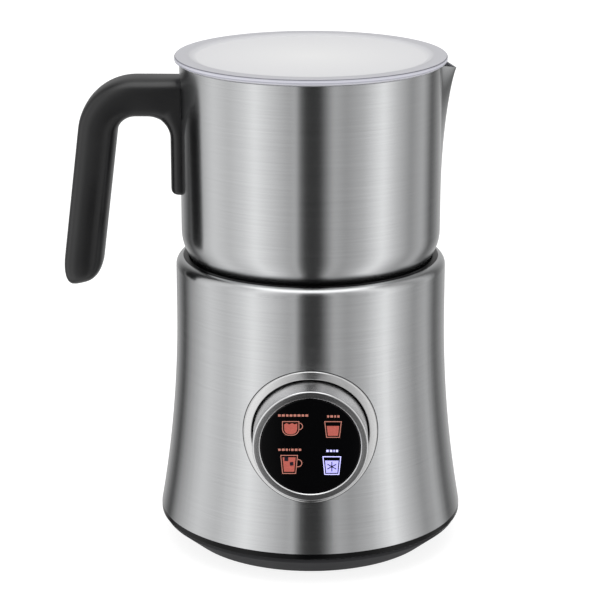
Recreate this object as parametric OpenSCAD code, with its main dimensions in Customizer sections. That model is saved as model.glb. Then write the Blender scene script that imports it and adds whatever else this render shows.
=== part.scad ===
// Milk frother: an induction base with a magnetic whisk drive, a lift-off steel jug with a
// pouring lip and a black handle, a loose frosted lid, and a turning dial round a press display.
// Origin: centre of the foot ring on the table. +Z up, -Y to the front, the handle at -X. In mm.

/* [Base] */
// Height of the steel skirt, from its lower edge to the crown
base_h = 120; // [100:1:145]
// How far the skirt flares out from its waist to its lower edge
flare = 8.4; // [6:0.2:11]
// Height of the waist above the skirt's lower edge
waist_up = 95; // [85:1:95]
// Thickness of the skirt's sheet steel
skin_t = 0.8; // [0.6:0.1:1.2]
// Outer radius of the rounded crown
crown_r = 4.6; // [4:0.2:6]
// Radius of the crown's inward curl, towards the well
curl_r = 2.5; // [2:0.1:3]
// Height of the glossy black ring below the skirt
ring_h = 3; // [2:0.5:5]
// Height of the black pan below the ring
pan_h = 10.2; // [8:0.2:16]
// How far the pan tapers in from the ring to its underside
pan_taper = 11; // [4:0.5:14]
// Wall thickness of the pan
pan_t = 2.2; // [1.6:0.1:3]
// Height of the rubber foot ring below the pan
foot_h = 2; // [1:0.5:4]
// Distance from the pan's lower edge to the middle of the foot ring
foot_inset = 7; // [4:0.5:12]
// Radius of the lead that the gland takes
cord_r = 3.3; // [2.5:0.1:4]

/* [Jug] */
// Outer radius of the jug's wall
jug_r = 58.95; // [57:0.05:72]
// Height of the jug from its underside to its rim
jug_h = 96.8; // [80:0.1:120]
// Radius of the jug's bottom corner
jug_corner = 20; // [17:0.5:22]
// Thickness of the jug's wall
jug_t = 0.8; // [0.6:0.1:1.2]
// Thickness of the jug's floor, with its induction disc
floor_t = 2; // [1.8:0.1:3]
// How deep the jug sits below the top of the crown
seat_depth = 8; // [7:0.1:8.4]
// How far the pouring lip stands out from the wall at its tip
spout_reach = 6.6; // [4:0.2:9]
// Half width of the pouring lip at the rim
spout_w = 12; // [9:0.5:16]
// Height above the jug's underside where the lip begins to swell
spout_from = 28; // [20:1:45]
// How far the lip's tip dips below the rim
spout_dip = 3; // [1:0.2:5]

/* [Handle] */
// Thickness of the handle, seen from the side
grip_t = 17.6; // [14:0.2:22]
// Width of the handle, seen from the end
grip_w = 26; // [20:1:30]
// Height of the arm's centre line above the jug's underside
arm_z = 81.2; // [78:0.2:86]
// Distance from the jug's wall to the centre of the elbow's bend
elbow_out = 19.6; // [16:0.2:24]
// Radius of the handle's centre line at the elbow
elbow_r = 17.6; // [15:0.2:22]
// Lean of the grip away from the jug, in degrees
grip_lean = 7.3; // [0:0.1:12]
// Length of the straight grip below the elbow
grip_len = 72; // [55:1:80]
// Slant of the grip's end, in degrees
grip_slant = 20; // [0:1:30]
// Thickness of the strip that lies on the jug's wall
strip_t = 4.3; // [3:0.1:6]
// Height of the strip's lower end above the jug's underside
strip_from = 37; // [30:1:50]

/* [Lid] */
// How far the lid's edge stands out past the jug's wall
lid_over = 2.15; // [1:0.05:4]
// Thickness of the lid at its edge
lid_edge = 2; // [1.5:0.1:3]
// Depth of the shallow dish in the lid's top
lid_dish = 1; // [0.5:0.1:1.2]
// Width of the raised edge round the dish
lid_band = 6.9; // [4:0.1:10]
// Depth of the collar that goes into the jug
collar_h = 9; // [8:0.5:14]

/* [Dial] */
// Height of the dial's centre above the skirt's lower edge
dial_up = 53.2; // [45:0.2:62]
// Outer radius of the turning ring
dial_r = 25.3; // [24:0.1:28]
// Radius of the turning ring's bore, where it rides on its housing
dial_bore = 22; // [20:0.1:22]
// How far the ring's face stands out from the skirt
dial_out = 13.2; // [11:0.1:16]
// Gap between the turning ring and the trim round it
dial_gap = 0.85; // [0.5:0.05:1.5]
// Width of the trim round the dial
trim_w = 3.65; // [2.5:0.05:6]
// How far the display moves when it is pressed
press = 1; // [0.5:0.1:1.2]

/* [Drive] */
// Radius of the motor's can
motor_r = 14; // [12:0.5:16]
// Length of the motor's can
motor_l = 34; // [30:1:38]
// Radius of the motor's shaft
shaft_r = 1.5; // [1:0.1:2]
// Radius of the magnet carrier under the well
carrier_r = 16.5; // [15:0.1:16.5]
// Inner radius of the induction coil
coil_in = 31; // [30.5:0.5:33]
// Pitch of the turns in the induction coil
wire_pitch = 1.5; // [1.5:0.1:2.5]
// Radius of the ring of magnets, in the base and in the whisk
magnet_ring = 10.5; // [9.5:0.1:11]
// Radius of the coiled whisk's ring
whisk_ring = 18.5; // [17:0.5:22]

/* [Fits] */
// Gap between the seated jug and the well's floor
seat_gap = 0.3; // [0.2:0.1:0.5]
// Gap between the jug's corner and the crown's curl
curl_gap = 0.65; // [0.4:0.05:1]
// Radial clearance of a shaft or ring that turns or slides
run = 0.05; // [0.03:0.01:0.1]
// Gap between moving faces that don't bear on each other
free = 0.3; // [0.25:0.05:0.5]
// Gap round a fixed piece that is dropped into its seat
seat = 0.1; // [0.05:0.05:0.2]

/* [Hidden] */
$fn = 96;

// Heights, from the table up
z_pan = foot_h;
z_ring = z_pan + pan_h;
z_edge = z_ring + ring_h;
z_waist = z_edge + waist_up;
z_crown = z_edge + base_h;
z_curl = z_crown - curl_r;
z_jug = z_crown - seat_depth;
z_corner = z_jug + jug_corner;
z_rim = z_jug + jug_h;
z_dial = z_edge + dial_up;

// The crown curls round the seated jug's corner with an even gap, and sets the waist's radius
curl_reach = jug_corner + curl_gap + curl_r;
crown_x = jug_r - jug_corner + sqrt(pow(curl_reach, 2) - pow(z_corner - z_curl, 2));
curl_in_r = crown_x - curl_r;
waist_r = crown_x + crown_r;
edge_r = waist_r + flare;
flare_arc = (pow(flare, 2) + pow(waist_up, 2)) / (2 * flare);
flare_sides = 1440;
pan_top_r = edge_r - 1;
pan_low_r = pan_top_r - pan_taper;
foot_r = pan_low_r - foot_inset;
pan_lip = 1.3;
shoulder_r = 2;
ring_round = 0.8;

// The well under the jug: a floor, a rounded corner and a rim under the crown's curl
z_well = z_jug - seat_gap;
well_t = 2.2;
well_flat = curl_in_r - sqrt(pow(jug_corner, 2) - pow(z_well + jug_corner - z_curl, 2));
z_under = z_well - well_t;

// The induction coil and its former, hung from the well
mica_t = 0.6;
glue_t = 0.05;
wire_r = 0.72;
backing_t = 1.2;
former_t = 2.4;
former_rim = 1.2;
lug_r = 4.2;
lug_at = well_flat + 10.6;
former_r = lug_at - lug_r - seat;
coil_turns = floor((former_r - former_rim - seat - coil_in) / wire_pitch);
coil_out = coil_in + coil_turns * wire_pitch;
coil_h = 2 * wire_r + 0.8;
z_former = z_under - mica_t - coil_h - former_t;
ferrite = [12, 7, 3.5];
ferrite_at = (coil_in + coil_out) / 2;

// The chassis, the motor hung in it on rubber, and the magnet carrier
leg_at = lug_at;
leg_r = 4;
peg_r = 2;
plate_t = 3;
z_plate = z_former - 18;
bracket_at = 30;
grommet_r = 5;
grommet_t = 2;
foot_at = leg_at - 9;
bracket_t = 1.5;
ear_angles = [30, 150, 270];
z_bracket = z_plate - grommet_t - bracket_t;
z_motor = z_bracket - motor_l;
can_t = 1.2;
bolt_r = 1.5;
magnet_r = 4.5;
magnet_h = 5;
carrier_h = 8;
z_carrier = z_under - mica_t - 1.2 - carrier_h;
shaft_top = z_carrier + carrier_h - 2;

// The spring-loaded temperature sensor, behind the carrier
sensor_at = 24.6;
sensor_r = 4;
sleeve_t = 0.9;
sleeve_l = 16;
z_sleeve = z_under - mica_t - sleeve_l;
cap_h = 9.4;
z_cap = z_jug - 0.2 - cap_h;

// The base's electronics and fan
board = [92, 44, 1.6];
board_y = -8;
z_board = z_pan + pan_t + 6;
z_parts = z_board + board[2];
z_foot = z_pan + pan_t;
foot_boss = z_board - z_foot - 0.4;
board_hole = [42, 18];
fan_w = 30;
fan_t = 10;
fan_y = 34;
fan_hub = 6;
fan_bore = 1.5;
z_fan = z_pan + pan_t + 1.5;

// The lead's entry, at the back of the skirt
gland_z = z_edge + 12;
gland_y = edge_r - 12;
gland_l = 12.6;
gland_wall = 2.2;

// The dial, measured along Y from the front
skin_y = -(waist_r + flare_arc - sqrt(pow(flare_arc, 2) - pow(z_waist - z_dial, 2)));
face_y = skin_y - dial_out;
trim_in = dial_r + dial_gap;
trim_out = trim_in + trim_w;
sleeve_out = trim_in + 1.15;
housing_y = skin_y + 10.7;
housing_t = 2.5;
tube_r = dial_bore - run;
tube_in = tube_r - 1.75;
glass_t = 1.8;
glass_y = face_y + 0.4;
carrier_y = glass_y + glass_t;
carrier_t = 2;
tube_y = carrier_y + carrier_t + press + free;
board2_y = tube_y + 10;
stem_r = 1.6;
rim_l = 8;
window = 8.4;
carrier_in = tube_in - 1.4;
icon_out = carrier_in - 0.75 * window;
icon_at = [for (a = [136, 39, 222, 317]) icon_out * [cos(a), sin(a)]];

// The handle: the saddle on the wall, and the arm's elbow
bracket_h = 34;
z_saddle = z_jug + strip_from + 8;
saddle_w = 14;
screw_up = [7, 24];
elbow_x = -(jug_r + elbow_out);
z_arm = z_jug + arm_z;
elbow_sweep = 90 - grip_lean;

// The lid, with a collar inside the jug's rim
lid_r = jug_r + lid_over;
z_lid = z_rim + 0.2;
lid_h = 3;
collar_r = jug_r - jug_t - 1;
groove_z = z_lid - collar_h / 2 - 1.5;

// The whisk, which drops over a post in the jug
z_floor = z_jug + floor_t;
post_r = 2;
post_h = 14;
post_flange = 0.8;
bush_r = 3.2;
bush_h = 11;
coil_r = 2.8;
coil_wire = 0.45;
whisk_r = whisk_ring - coil_r - 0.2;
whisk_t = 5;
z_whisk = z_floor + post_flange + free;

// Solids that several pieces share

// Everything inside the skirt's flared outer face, moved outwards by grow
module skirt_region(grow) {
  rotate_extrude() {
    difference() {
      translate([0, z_edge]) square([edge_r + 20, waist_up]);
      translate([waist_r + flare_arc, z_waist]) circle(r = flare_arc - grow, $fn = flare_sides);
    }
    translate([0, z_waist]) square([waist_r + grow, z_crown - crown_r - z_waist]);
  }
}

// A skin that follows the skirt's outer face, from lo to hi outside it
module skirt_band(lo, hi) {
  difference() {
    skirt_region(hi);
    skirt_region(lo);
  }
}

// A cylinder along Y round the dial's axis
module dial_cylinder(r, y_from, y_to) {
  translate([0, y_from, z_dial]) rotate([-90, 0, 0]) cylinder(r = r, h = y_to - y_from);
}

// A tube along Y round the dial's axis
module dial_tube(r_out, r_in, y_from, y_to) {
  difference() {
    dial_cylinder(r_out, y_from, y_to);
    dial_cylinder(r_in, y_from - 1, y_to + 1);
  }
}

// A tube along Z
module tube(r_out, r_in, z_from, z_to) {
  translate([0, 0, z_from]) difference() {
    cylinder(r = r_out, h = z_to - z_from);
    translate([0, 0, -1]) cylinder(r = r_in, h = z_to - z_from + 2);
  }
}

// The jug's inside or outside: a straight wall, a round corner and a flat floor
module jug_section(inset, top) {
  translate([0, z_corner]) square([jug_r - inset, top - z_corner]);
  intersection() {
    translate([jug_r - jug_corner, z_corner]) circle(r = jug_corner - inset);
    translate([jug_r - jug_corner, z_jug]) square([jug_corner, jug_corner]);
  }
  translate([0, z_jug + inset]) square([jug_r - jug_corner, jug_corner - inset]);
}

// A pan-head screw along +Z with its head below z
module screw(z, length, r) {
  translate([0, 0, z]) cylinder(r = r, h = length);
  translate([0, 0, z - r]) cylinder(r = 2 * r, h = r);
}

// A skin through rings of points, each right-handed about the way it travels, with flat ends
// or joined end to start
module swept(rings, closed) {
  count = len(rings);
  sides = len(rings[0]);
  last = closed ? count : count - 1;
  walls = [
    for (i = [0:last - 1]) for (j = [0:sides - 1]) let (
      a = i * sides + j,
      b = ((i + 1) % count) * sides + j,
      c = ((i + 1) % count) * sides + (j + 1) % sides,
      d = i * sides + (j + 1) % sides
    )
      each [[a, b, c], [a, c, d]]
  ];
  ends = closed ? [] : [
    [for (j = [0:sides - 1]) j],
    [for (j = [sides - 1:-1:0]) (count - 1) * sides + j]
  ];
  polyhedron(points = [for (ring = rings) each ring], faces = concat(walls, ends), convexity = 6);
}

// The rings of a helical spring along +Z
function spring_rings(r, wire, pitch, turns, steps, sides) = [
  for (i = [0:turns * steps]) let (a = 360 * i / steps)
    [
      for (j = [0:sides - 1]) let (b = -360 * j / sides)
        [
          (r + wire * cos(b)) * cos(a),
          (r + wire * cos(b)) * sin(a),
          pitch * i / steps + wire * sin(b)
        ]
    ]
];

// The base's casing

module base_shell() {
  color("silver") difference() {
    rotate_extrude() {
      intersection() {
        difference() {
          translate([waist_r + flare_arc, z_waist])
            circle(r = flare_arc + skin_t, $fn = flare_sides);
          translate([waist_r + flare_arc, z_waist]) circle(r = flare_arc, $fn = flare_sides);
        }
        translate([0, z_edge]) square([edge_r + 20, waist_up]);
      }
      translate([waist_r - skin_t, z_waist]) square([skin_t, z_crown - crown_r - z_waist]);
      intersection() {
        difference() {
          translate([crown_x, z_crown - crown_r]) circle(r = crown_r);
          translate([crown_x, z_crown - crown_r]) circle(r = crown_r - skin_t);
        }
        translate([crown_x, z_crown - crown_r]) square(crown_r);
      }
      intersection() {
        difference() {
          translate([crown_x, z_curl]) circle(r = curl_r);
          translate([crown_x, z_curl]) circle(r = curl_r - skin_t);
        }
        translate([curl_in_r, z_curl]) square(curl_r);
      }
    }
    dial_cylinder(sleeve_out + seat, -edge_r - 20, -30);
    gland_sleeve(seat, gland_l + 10);
  }
}

// The well's profile, grown outwards by grow
module well_section(grow) {
  translate([0, z_well - grow]) square([well_flat, jug_corner + grow]);
  intersection() {
    translate([well_flat, z_well + jug_corner]) circle(r = jug_corner + grow);
    translate([well_flat, z_well - grow]) square([jug_corner + grow, jug_corner + grow]);
  }
}

// Black liner of the well, with a flange inside the crown, short bosses and long pegs
module well_liner() {
  color([0.06, 0.06, 0.07]) difference() {
    union() {
      rotate_extrude() {
        intersection() {
          well_section(well_t);
          translate([0, z_under - 1]) square([waist_r, z_curl - z_under + 1]);
        }
        translate([well_flat, z_curl - 5]) square([waist_r - skin_t - seat - well_flat, 2.4]);
      }
      for (a = [0:90:270]) rotate(a) translate([lug_at, 0, z_former + former_t])
        cylinder(r = lug_r, h = z_curl - 4 - z_former - former_t);
      for (a = [45:90:315]) rotate(a) translate([leg_at, 0, z_plate + plate_t])
        cylinder(r = leg_r, h = z_curl - 4 - z_plate - plate_t);
      for (a = [45:90:315]) rotate(a) translate([leg_at, 0, z_plate - 6])
        cylinder(r = peg_r, h = plate_t + 7);
    }
    rotate_extrude() well_section(0);
    translate([0, sensor_at, z_under - 1]) cylinder(r = sensor_r + 0.2, h = well_t + 2);
    for (a = [0:90:270]) rotate(a) translate([lug_at, 0, z_former])
      cylinder(r = 1.1, h = former_t + 6.5);
  }
}

// Glossy ring between the skirt and the pan, with a lip inside the skirt
module base_ring() {
  color([0.03, 0.03, 0.03]) rotate_extrude() {
    translate([edge_r - 5, z_ring]) square([5 - ring_round, ring_h]);
    translate([edge_r - 5, z_ring + ring_round]) square([5, ring_h - ring_round]);
    translate([edge_r - 5, z_edge]) square([4 - skin_t, 4]);
    intersection() {
      translate([edge_r - ring_round, z_ring + ring_round]) circle(r = ring_round);
      translate([edge_r - ring_round, z_ring]) square(ring_round);
    }
  }
}

// Outline of the pan: a slanted wall, a round shoulder and a low upright lip
module pan_outline() {
  slope = atan2(pan_h - pan_lip, pan_taper);
  centre = [
    pan_top_r - shoulder_r,
    z_pan + (pan_taper - shoulder_r) * tan(slope) + shoulder_r / cos(slope)
  ];
  polygon([
    [0, z_pan],
    [pan_low_r, z_pan],
    centre + shoulder_r * [sin(slope), -cos(slope)],
    centre,
    centre + [shoulder_r, 0],
    [pan_top_r, z_ring],
    [0, z_ring]
  ]);
  intersection() {
    translate(centre) circle(r = shoulder_r);
    translate([0, z_pan]) square([pan_top_r, pan_h]);
  }
}

// Everything inside the pan's slanted wall, kept off it by gap
module pan_inside(gap) {
  translate([0, 0, z_foot])
    cylinder(r1 = pan_low_r - pan_t - gap, r2 = pan_top_r - pan_t - gap, h = pan_h - pan_t + 0.01);
}

// Pan: a slanted wall, a floor with vent slots, standoffs and screw bosses
module base_pan() {
  color([0.17, 0.17, 0.18]) difference() {
    union() {
      difference() {
        rotate_extrude() pan_outline();
        pan_inside(0);
      }
      for (x = [-1, 1]) for (y = [-1, 1])
        translate([x * board_hole[0], board_y + y * board_hole[1], z_pan + 1])
          cylinder(r = 2.6, h = z_board - z_pan - 1);
      for (x = [-1, 1]) for (y = [-1, 1])
        translate([x * 12, fan_y + y * 12, z_pan + 1])
          cylinder(r = 2, h = z_fan - z_pan - 1);
    }
    for (x = [-1, 1]) for (y = [-1, 1])
      translate([x * board_hole[0], board_y + y * board_hole[1], z_pan + pan_t + 1])
        cylinder(r = 1.1, h = 12);
    for (i = [-3:3]) translate([i * 4 - 1, fan_y - 9, z_pan - 1]) cube([2, 18, pan_t + 1.5]);
    for (a = [45:90:315]) rotate(a) translate([foot_at, 0, z_pan - 1]) {
      cylinder(r = bolt_r + 0.15, h = pan_t + 2);
      cylinder(r = 2 * bolt_r + 0.3, h = 1 + bolt_r);
    }
    tube(foot_r + 2.5, foot_r - 2.5, z_pan - 1, z_pan + 0.6);
  }
}

module pan_screws() {
  color("silver") for (a = [45:90:315]) rotate(a) translate([foot_at, 0, 0])
    screw(z_pan + bolt_r, pan_t - bolt_r + foot_boss - 1, bolt_r);
}

// Non-slip ring set in a groove of the pan
module foot_ring() {
  color([0.1, 0.1, 0.1]) tube(foot_r + 2.4, foot_r - 2.4, 0, z_pan + 0.6);
}

// Square sleeve of the lead's entry, which the skirt's square hole keeps from turning
module gland_sleeve(grow, l) {
  w = 2 * (cord_r + gland_wall + grow);
  translate([-w / 2, gland_y, gland_z - w / 2]) cube([w, l, w]);
}

// The lead's entry at the back of the skirt: the bored sleeve and a round flange outside the skirt
module cord_gland() {
  color([0.08, 0.08, 0.08]) difference() {
    union() {
      gland_sleeve(0, gland_l);
      intersection() {
        skirt_band(0.05, 1.6);
        translate([0, gland_y, gland_z]) rotate([-90, 0, 0]) cylinder(r = cord_r + 5, h = 30);
      }
    }
    translate([0, gland_y - 2, gland_z]) rotate([-90, 0, 0]) cylinder(r = cord_r, h = gland_l + 5);
  }
}

// Plate on four legs that carries the motor and holds up the well
module chassis() {
  color([0.85, 0.85, 0.82]) difference() {
    union() {
      tube(36, 22, z_plate, z_plate + plate_t);
      for (a = [45:90:315]) rotate(a) {
        translate([34, -4, z_plate]) cube([leg_at - 34, 8, plate_t]);
        translate([leg_at, 0, z_foot]) cylinder(r = leg_r, h = z_plate + plate_t - z_foot);
        translate([foot_at, 0, z_foot]) cylinder(r = 3.4, h = foot_boss);
        translate([foot_at, -1.5, z_foot]) cube([leg_at - foot_at, 3, foot_boss]);
      }
    }
    for (a = [45:90:315]) rotate(a) {
      translate([leg_at, 0, z_plate - 7]) cylinder(r = peg_r + seat, h = plate_t + 8);
      translate([foot_at, 0, z_foot - 1]) cylinder(r = bolt_r, h = foot_boss + 0.2);
    }
    for (a = ear_angles) rotate(a) translate([bracket_at, 0, z_plate - 1])
      cylinder(r = grommet_r - 1.5, h = plate_t + 2);
    difference() {
      translate([0, 0, z_foot - 1]) cylinder(r = edge_r, h = pan_h - pan_t + 1);
      pan_inside(seat);
    }
  }
}

// The induction coil under the well

module mica_disc() {
  color([0.8, 0.74, 0.6]) difference() {
    translate([0, 0, z_under - mica_t]) cylinder(r = coil_out, h = mica_t);
    translate([0, sensor_at, z_under - 1]) cylinder(r = sensor_r + 0.2, h = 2);
  }
}

// Former: a plate with a rim round the coil, four lugs, and holes for carrier and sensor
module coil_former() {
  color([0.9, 0.88, 0.82]) difference() {
    union() {
      translate([0, 0, z_former]) cylinder(r = former_r, h = former_t);
      tube(former_r, former_r - former_rim, z_former, z_former + former_t + 1.5);
      for (a = [0:90:270]) rotate(a) {
        translate([lug_at, 0, z_former]) cylinder(r = lug_r, h = former_t);
        translate([former_r - 3, -lug_r, z_former]) cube([lug_at - former_r + 3, 2 * lug_r, former_t]);
      }
    }
    translate([0, 0, z_former - 1]) cylinder(r = carrier_r + 1.3, h = former_t + 2);
    translate([0, sensor_at, z_former - 1]) cylinder(r = sensor_r + sleeve_t + seat, h = former_t + 2);
    for (a = [0:90:270]) rotate(a) translate([lug_at, 0, z_former - 1])
      cylinder(r = 1.4, h = former_t + 2);
  }
}

// Litz winding: round turns side by side on a thin bonded backing
module induction_coil() {
  z_wire = z_former + former_t + 0.8 + wire_r;
  color([0.72, 0.4, 0.2]) {
    tube(coil_out, coil_in, z_former + former_t, z_former + former_t + backing_t);
    rotate_extrude() for (i = [0:coil_turns - 1])
      translate([coil_in + (i + 0.5) * wire_pitch, z_wire]) circle(r = wire_r, $fn = 24);
  }
}

module ferrite_bars() {
  color([0.2, 0.2, 0.22]) for (a = [22.5:45:337.5]) rotate(a)
    translate([ferrite_at - ferrite[0] / 2, -ferrite[1] / 2, z_former - ferrite[2] - glue_t])
      cube(ferrite);
}

module former_screws() {
  color("silver") for (a = [0:90:270]) rotate(a) translate([lug_at, 0, 0])
    screw(z_former, 7, 1.1);
}

// Tube that guides the sensor, closed below but for the wire's hole
module sensor_sleeve() {
  color([0.9, 0.9, 0.86]) translate([0, sensor_at, 0]) {
    tube(sensor_r + sleeve_t, sensor_r + run, z_sleeve, z_under - mica_t);
    tube(sensor_r + sleeve_t, 1.2, z_sleeve - 1.4, z_sleeve);
  }
}

// The whisk's motor

module motor_can() {
  color([0.7, 0.7, 0.72]) difference() {
    union() {
      translate([0, 0, z_motor]) cylinder(r = motor_r, h = motor_l);
      translate([0, 0, z_bracket]) cylinder(r = 4, h = 2.5);
    }
    translate([0, 0, z_motor - 1]) cylinder(r = motor_r - can_t, h = motor_l - can_t + 1);
    translate([0, 0, z_motor]) cylinder(r = shaft_r + run, h = motor_l + 10);
    for (x = [-8, 8]) translate([x, 0, z_bracket - 5]) cylinder(r = 1.25, h = 10);
  }
}

// Plastic end cap with its bush and brush terminals
module motor_end_cap() {
  color([0.15, 0.15, 0.16]) difference() {
    union() {
      translate([0, 0, z_motor - 2]) cylinder(r = motor_r, h = 2);
      translate([0, 0, z_motor]) cylinder(r = motor_r - can_t - seat, h = 3);
      translate([0, 0, z_motor - 4]) cylinder(r = 4, h = 2);
      for (x = [-7, 7]) translate([x - 1.5, -0.4, z_motor - 6]) cube([3, 0.8, 4.5]);
    }
    translate([0, 0, z_motor - 3]) cylinder(r = shaft_r + run, h = 10);
  }
}

// Two arc magnets inside the can
module field_magnets() {
  color([0.25, 0.25, 0.28]) difference() {
    tube(motor_r - can_t, motor_r - can_t - 2.6, z_motor + 6, z_motor + motor_l - 5);
    for (a = [0, 180]) rotate(a) translate([4, -3, z_motor]) cube([motor_r, 6, motor_l]);
  }
}

// Plate that carries the motor and has three ears for the rubber grommets
module motor_bracket() {
  color([0.75, 0.75, 0.77]) difference() {
    union() {
      translate([0, 0, z_bracket]) cylinder(r = 16, h = bracket_t);
      for (a = ear_angles) rotate(a) {
        translate([0, -5, z_bracket]) cube([bracket_at, 10, bracket_t]);
        translate([bracket_at, 0, z_bracket]) cylinder(r = 5, h = bracket_t);
      }
    }
    translate([0, 0, z_bracket - 1]) cylinder(r = 4 + seat, h = bracket_t + 2);
    for (x = [-8, 8]) translate([x, 0, z_bracket - 1]) cylinder(r = 1.4, h = 5);
    for (a = ear_angles) rotate(a) translate([bracket_at, 0, z_bracket - 1])
      cylinder(r = bolt_r + 0.1, h = 5);
  }
}

module motor_screws() {
  color("silver") for (x = [-8, 8]) translate([x, 0, z_bracket + bracket_t]) {
    translate([0, 0, -bracket_t - 1]) cylinder(r = 1.2, h = bracket_t + 1);
    cylinder(r = 2.2, h = 1.2);
  }
}

// Rubber grommets with a groove round the chassis plate
module bracket_grommets() {
  color([0.12, 0.12, 0.12]) for (a = ear_angles) rotate(a) translate([bracket_at, 0, 0])
    difference() {
      union() {
        translate([0, 0, z_plate - grommet_t]) cylinder(r = grommet_r, h = grommet_t);
        translate([0, 0, z_plate - 1]) cylinder(r = grommet_r - 1.6, h = plate_t + 2);
        translate([0, 0, z_plate + plate_t]) cylinder(r = grommet_r, h = grommet_t);
      }
      translate([0, 0, z_plate - 5]) cylinder(r = bolt_r + 0.1, h = plate_t + 10);
    }
}

// Bolts with a washer on top, through bracket and grommets
module bracket_bolts() {
  color("silver") for (a = ear_angles) rotate(a) translate([bracket_at, 0, 0]) {
    screw(z_bracket, plate_t + 2 * grommet_t + bracket_t + 1, bolt_r);
    translate([0, 0, z_plate + plate_t + grommet_t]) cylinder(r = 3, h = 1.4);
  }
}

module motor_shaft() {
  color([0.8, 0.8, 0.82]) translate([0, 0, z_motor - 2.5])
    cylinder(r = shaft_r, h = shaft_top - z_motor + 2.5);
}

// Slotted iron stack on the shaft with its commutator
module armature() {
  color([0.6, 0.35, 0.2]) difference() {
    union() {
      translate([0, 0, z_motor + 8]) cylinder(r = motor_r - can_t - 2.6 - free, h = motor_l - 15);
      translate([0, 0, z_motor + 3 + free]) cylinder(r = 3.4, h = 5);
    }
    translate([0, 0, z_motor]) cylinder(r = shaft_r, h = motor_l);
    for (a = [0:72:288]) rotate(a) translate([7, -0.8, z_motor + 7]) cube([5, 1.6, motor_l]);
  }
}

// Carrier for the drive magnets, on top of the shaft
module magnet_carrier() {
  color([0.92, 0.92, 0.9]) difference() {
    union() {
      translate([0, 0, z_carrier + 1.5]) cylinder(r = carrier_r, h = carrier_h - 1.5);
      translate([0, 0, z_carrier]) cylinder(r = 4, h = 2);
    }
    translate([0, 0, z_carrier - 1]) cylinder(r = shaft_r, h = shaft_top - z_carrier + 1);
    for (a = [0:90:270]) rotate(a) translate([magnet_ring, 0, z_carrier + carrier_h - magnet_h])
      cylinder(r = magnet_r, h = magnet_h + 1);
  }
}

module drive_magnets() {
  color([0.7, 0.7, 0.72]) for (a = [0:90:270]) rotate(a)
    translate([magnet_ring, 0, z_carrier + carrier_h - magnet_h]) cylinder(r = magnet_r, h = magnet_h);
}

// The electronics and the fan on the pan

module power_board() {
  color([0.1, 0.35, 0.18]) difference() {
    translate([-board[0] / 2, board_y - board[1] / 2, z_board]) cube(board);
    for (x = [-1, 1]) for (y = [-1, 1])
      translate([x * board_hole[0], board_y + y * board_hole[1], z_board - 1]) cylinder(r = 1.4, h = 5);
  }
}

module board_screws() {
  color("silver") for (x = [-1, 1]) for (y = [-1, 1])
    translate([x * board_hole[0], board_y + y * board_hole[1], z_parts]) {
      translate([0, 0, -6]) cylinder(r = 1.1, h = 6);
      cylinder(r = 2.2, h = 1.3);
    }
}

// Two boxed film capacitors
module filter_capacitors() {
  color([0.75, 0.6, 0.15]) for (y = [-13, 1]) translate([-36, board_y + y, z_parts]) cube([22, 10, 15]);
}

// Toroidal choke lying on the board
module line_choke() {
  color([0.75, 0.42, 0.2]) translate([24, board_y - 8, z_parts + 5])
    rotate_extrude() translate([7, 0]) circle(r = 5, $fn = 48);
}

// Finned extrusion across the fan's draught
module heat_sink() {
  color([0.75, 0.75, 0.78]) translate([-12, board_y + 12, z_parts]) {
    cube([36, 3, 18]);
    for (i = [0:6]) translate([i * 5.6, 2.5, 0]) cube([2, 6.5, 18]);
  }
}

module power_transistor() {
  color([0.12, 0.12, 0.13]) translate([-3, board_y + 7, z_parts]) {
    translate([0, 0, 3]) cube([15, 5, 14]);
    for (x = [2, 6.8, 11.6]) translate([x, 2, 0]) cube([1.4, 0.8, 3.5]);
  }
}

module terminal_block() {
  color([0.15, 0.4, 0.2]) difference() {
    translate([34, board_y + 0, z_parts]) cube([10, 12, 9]);
    for (y = [3, 9]) translate([39, board_y + y, z_parts + 5]) cylinder(r = 1.8, h = 5);
  }
}

// Fan frame: a square ring with a hub on three spokes below the blades
module fan_frame() {
  color([0.14, 0.14, 0.15]) translate([0, fan_y, z_fan]) {
    difference() {
      translate([-fan_w / 2, -fan_w / 2, 0]) cube([fan_w, fan_w, fan_t]);
      translate([0, 0, -1]) cylinder(r = fan_w / 2 - 1.2, h = fan_t + 2);
    }
    difference() {
      union() {
        cylinder(r = fan_hub, h = 1.6);
        cylinder(r = fan_bore + 1.2, h = 6);
        for (a = [30, 150, 270]) rotate(a) translate([4, -1, 0]) cube([fan_w / 2 - 4.6, 2, 1.6]);
      }
      translate([0, 0, -1]) cylinder(r = fan_bore, h = 8);
    }
  }
}

// Fan wheel: a cup hub with a pin and seven pitched blades
module fan_rotor() {
  color([0.2, 0.2, 0.22]) translate([0, fan_y, z_fan]) {
    difference() {
      translate([0, 0, 2]) cylinder(r = fan_hub, h = 7);
      translate([0, 0, 1]) cylinder(r = fan_bore + 1.2 + free, h = 5.6);
    }
    translate([0, 0, 0.3]) cylinder(r = fan_bore - run, h = 7);
    for (a = [0:360 / 7:359]) rotate(a) translate([fan_hub - 0.6, 0, 5.6]) rotate([35, 0, 0])
      translate([0, -3.6, -0.5]) cube([fan_w / 2 - 1.2 - 0.5 - fan_hub, 7.2, 1]);
  }
}

// The temperature sensor

// Thin metal cap that touches the jug through the well's floor
module sensor_cap() {
  color("silver") translate([0, sensor_at, z_cap]) difference() {
    cylinder(r = sensor_r, h = cap_h);
    translate([0, 0, -1]) cylinder(r = sensor_r - 0.6, h = cap_h + 0.2);
  }
}

module sensor_spring() {
  wire = 0.35;
  turns = 5;
  pitch = (z_cap + cap_h - 1.2 - z_sleeve - 2 * wire) / turns;
  color([0.7, 0.7, 0.7]) translate([0, sensor_at, z_sleeve + wire])
    swept(spring_rings(2.4, wire, pitch, turns, 16, 6), false);
}

// The dial and its display

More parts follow.
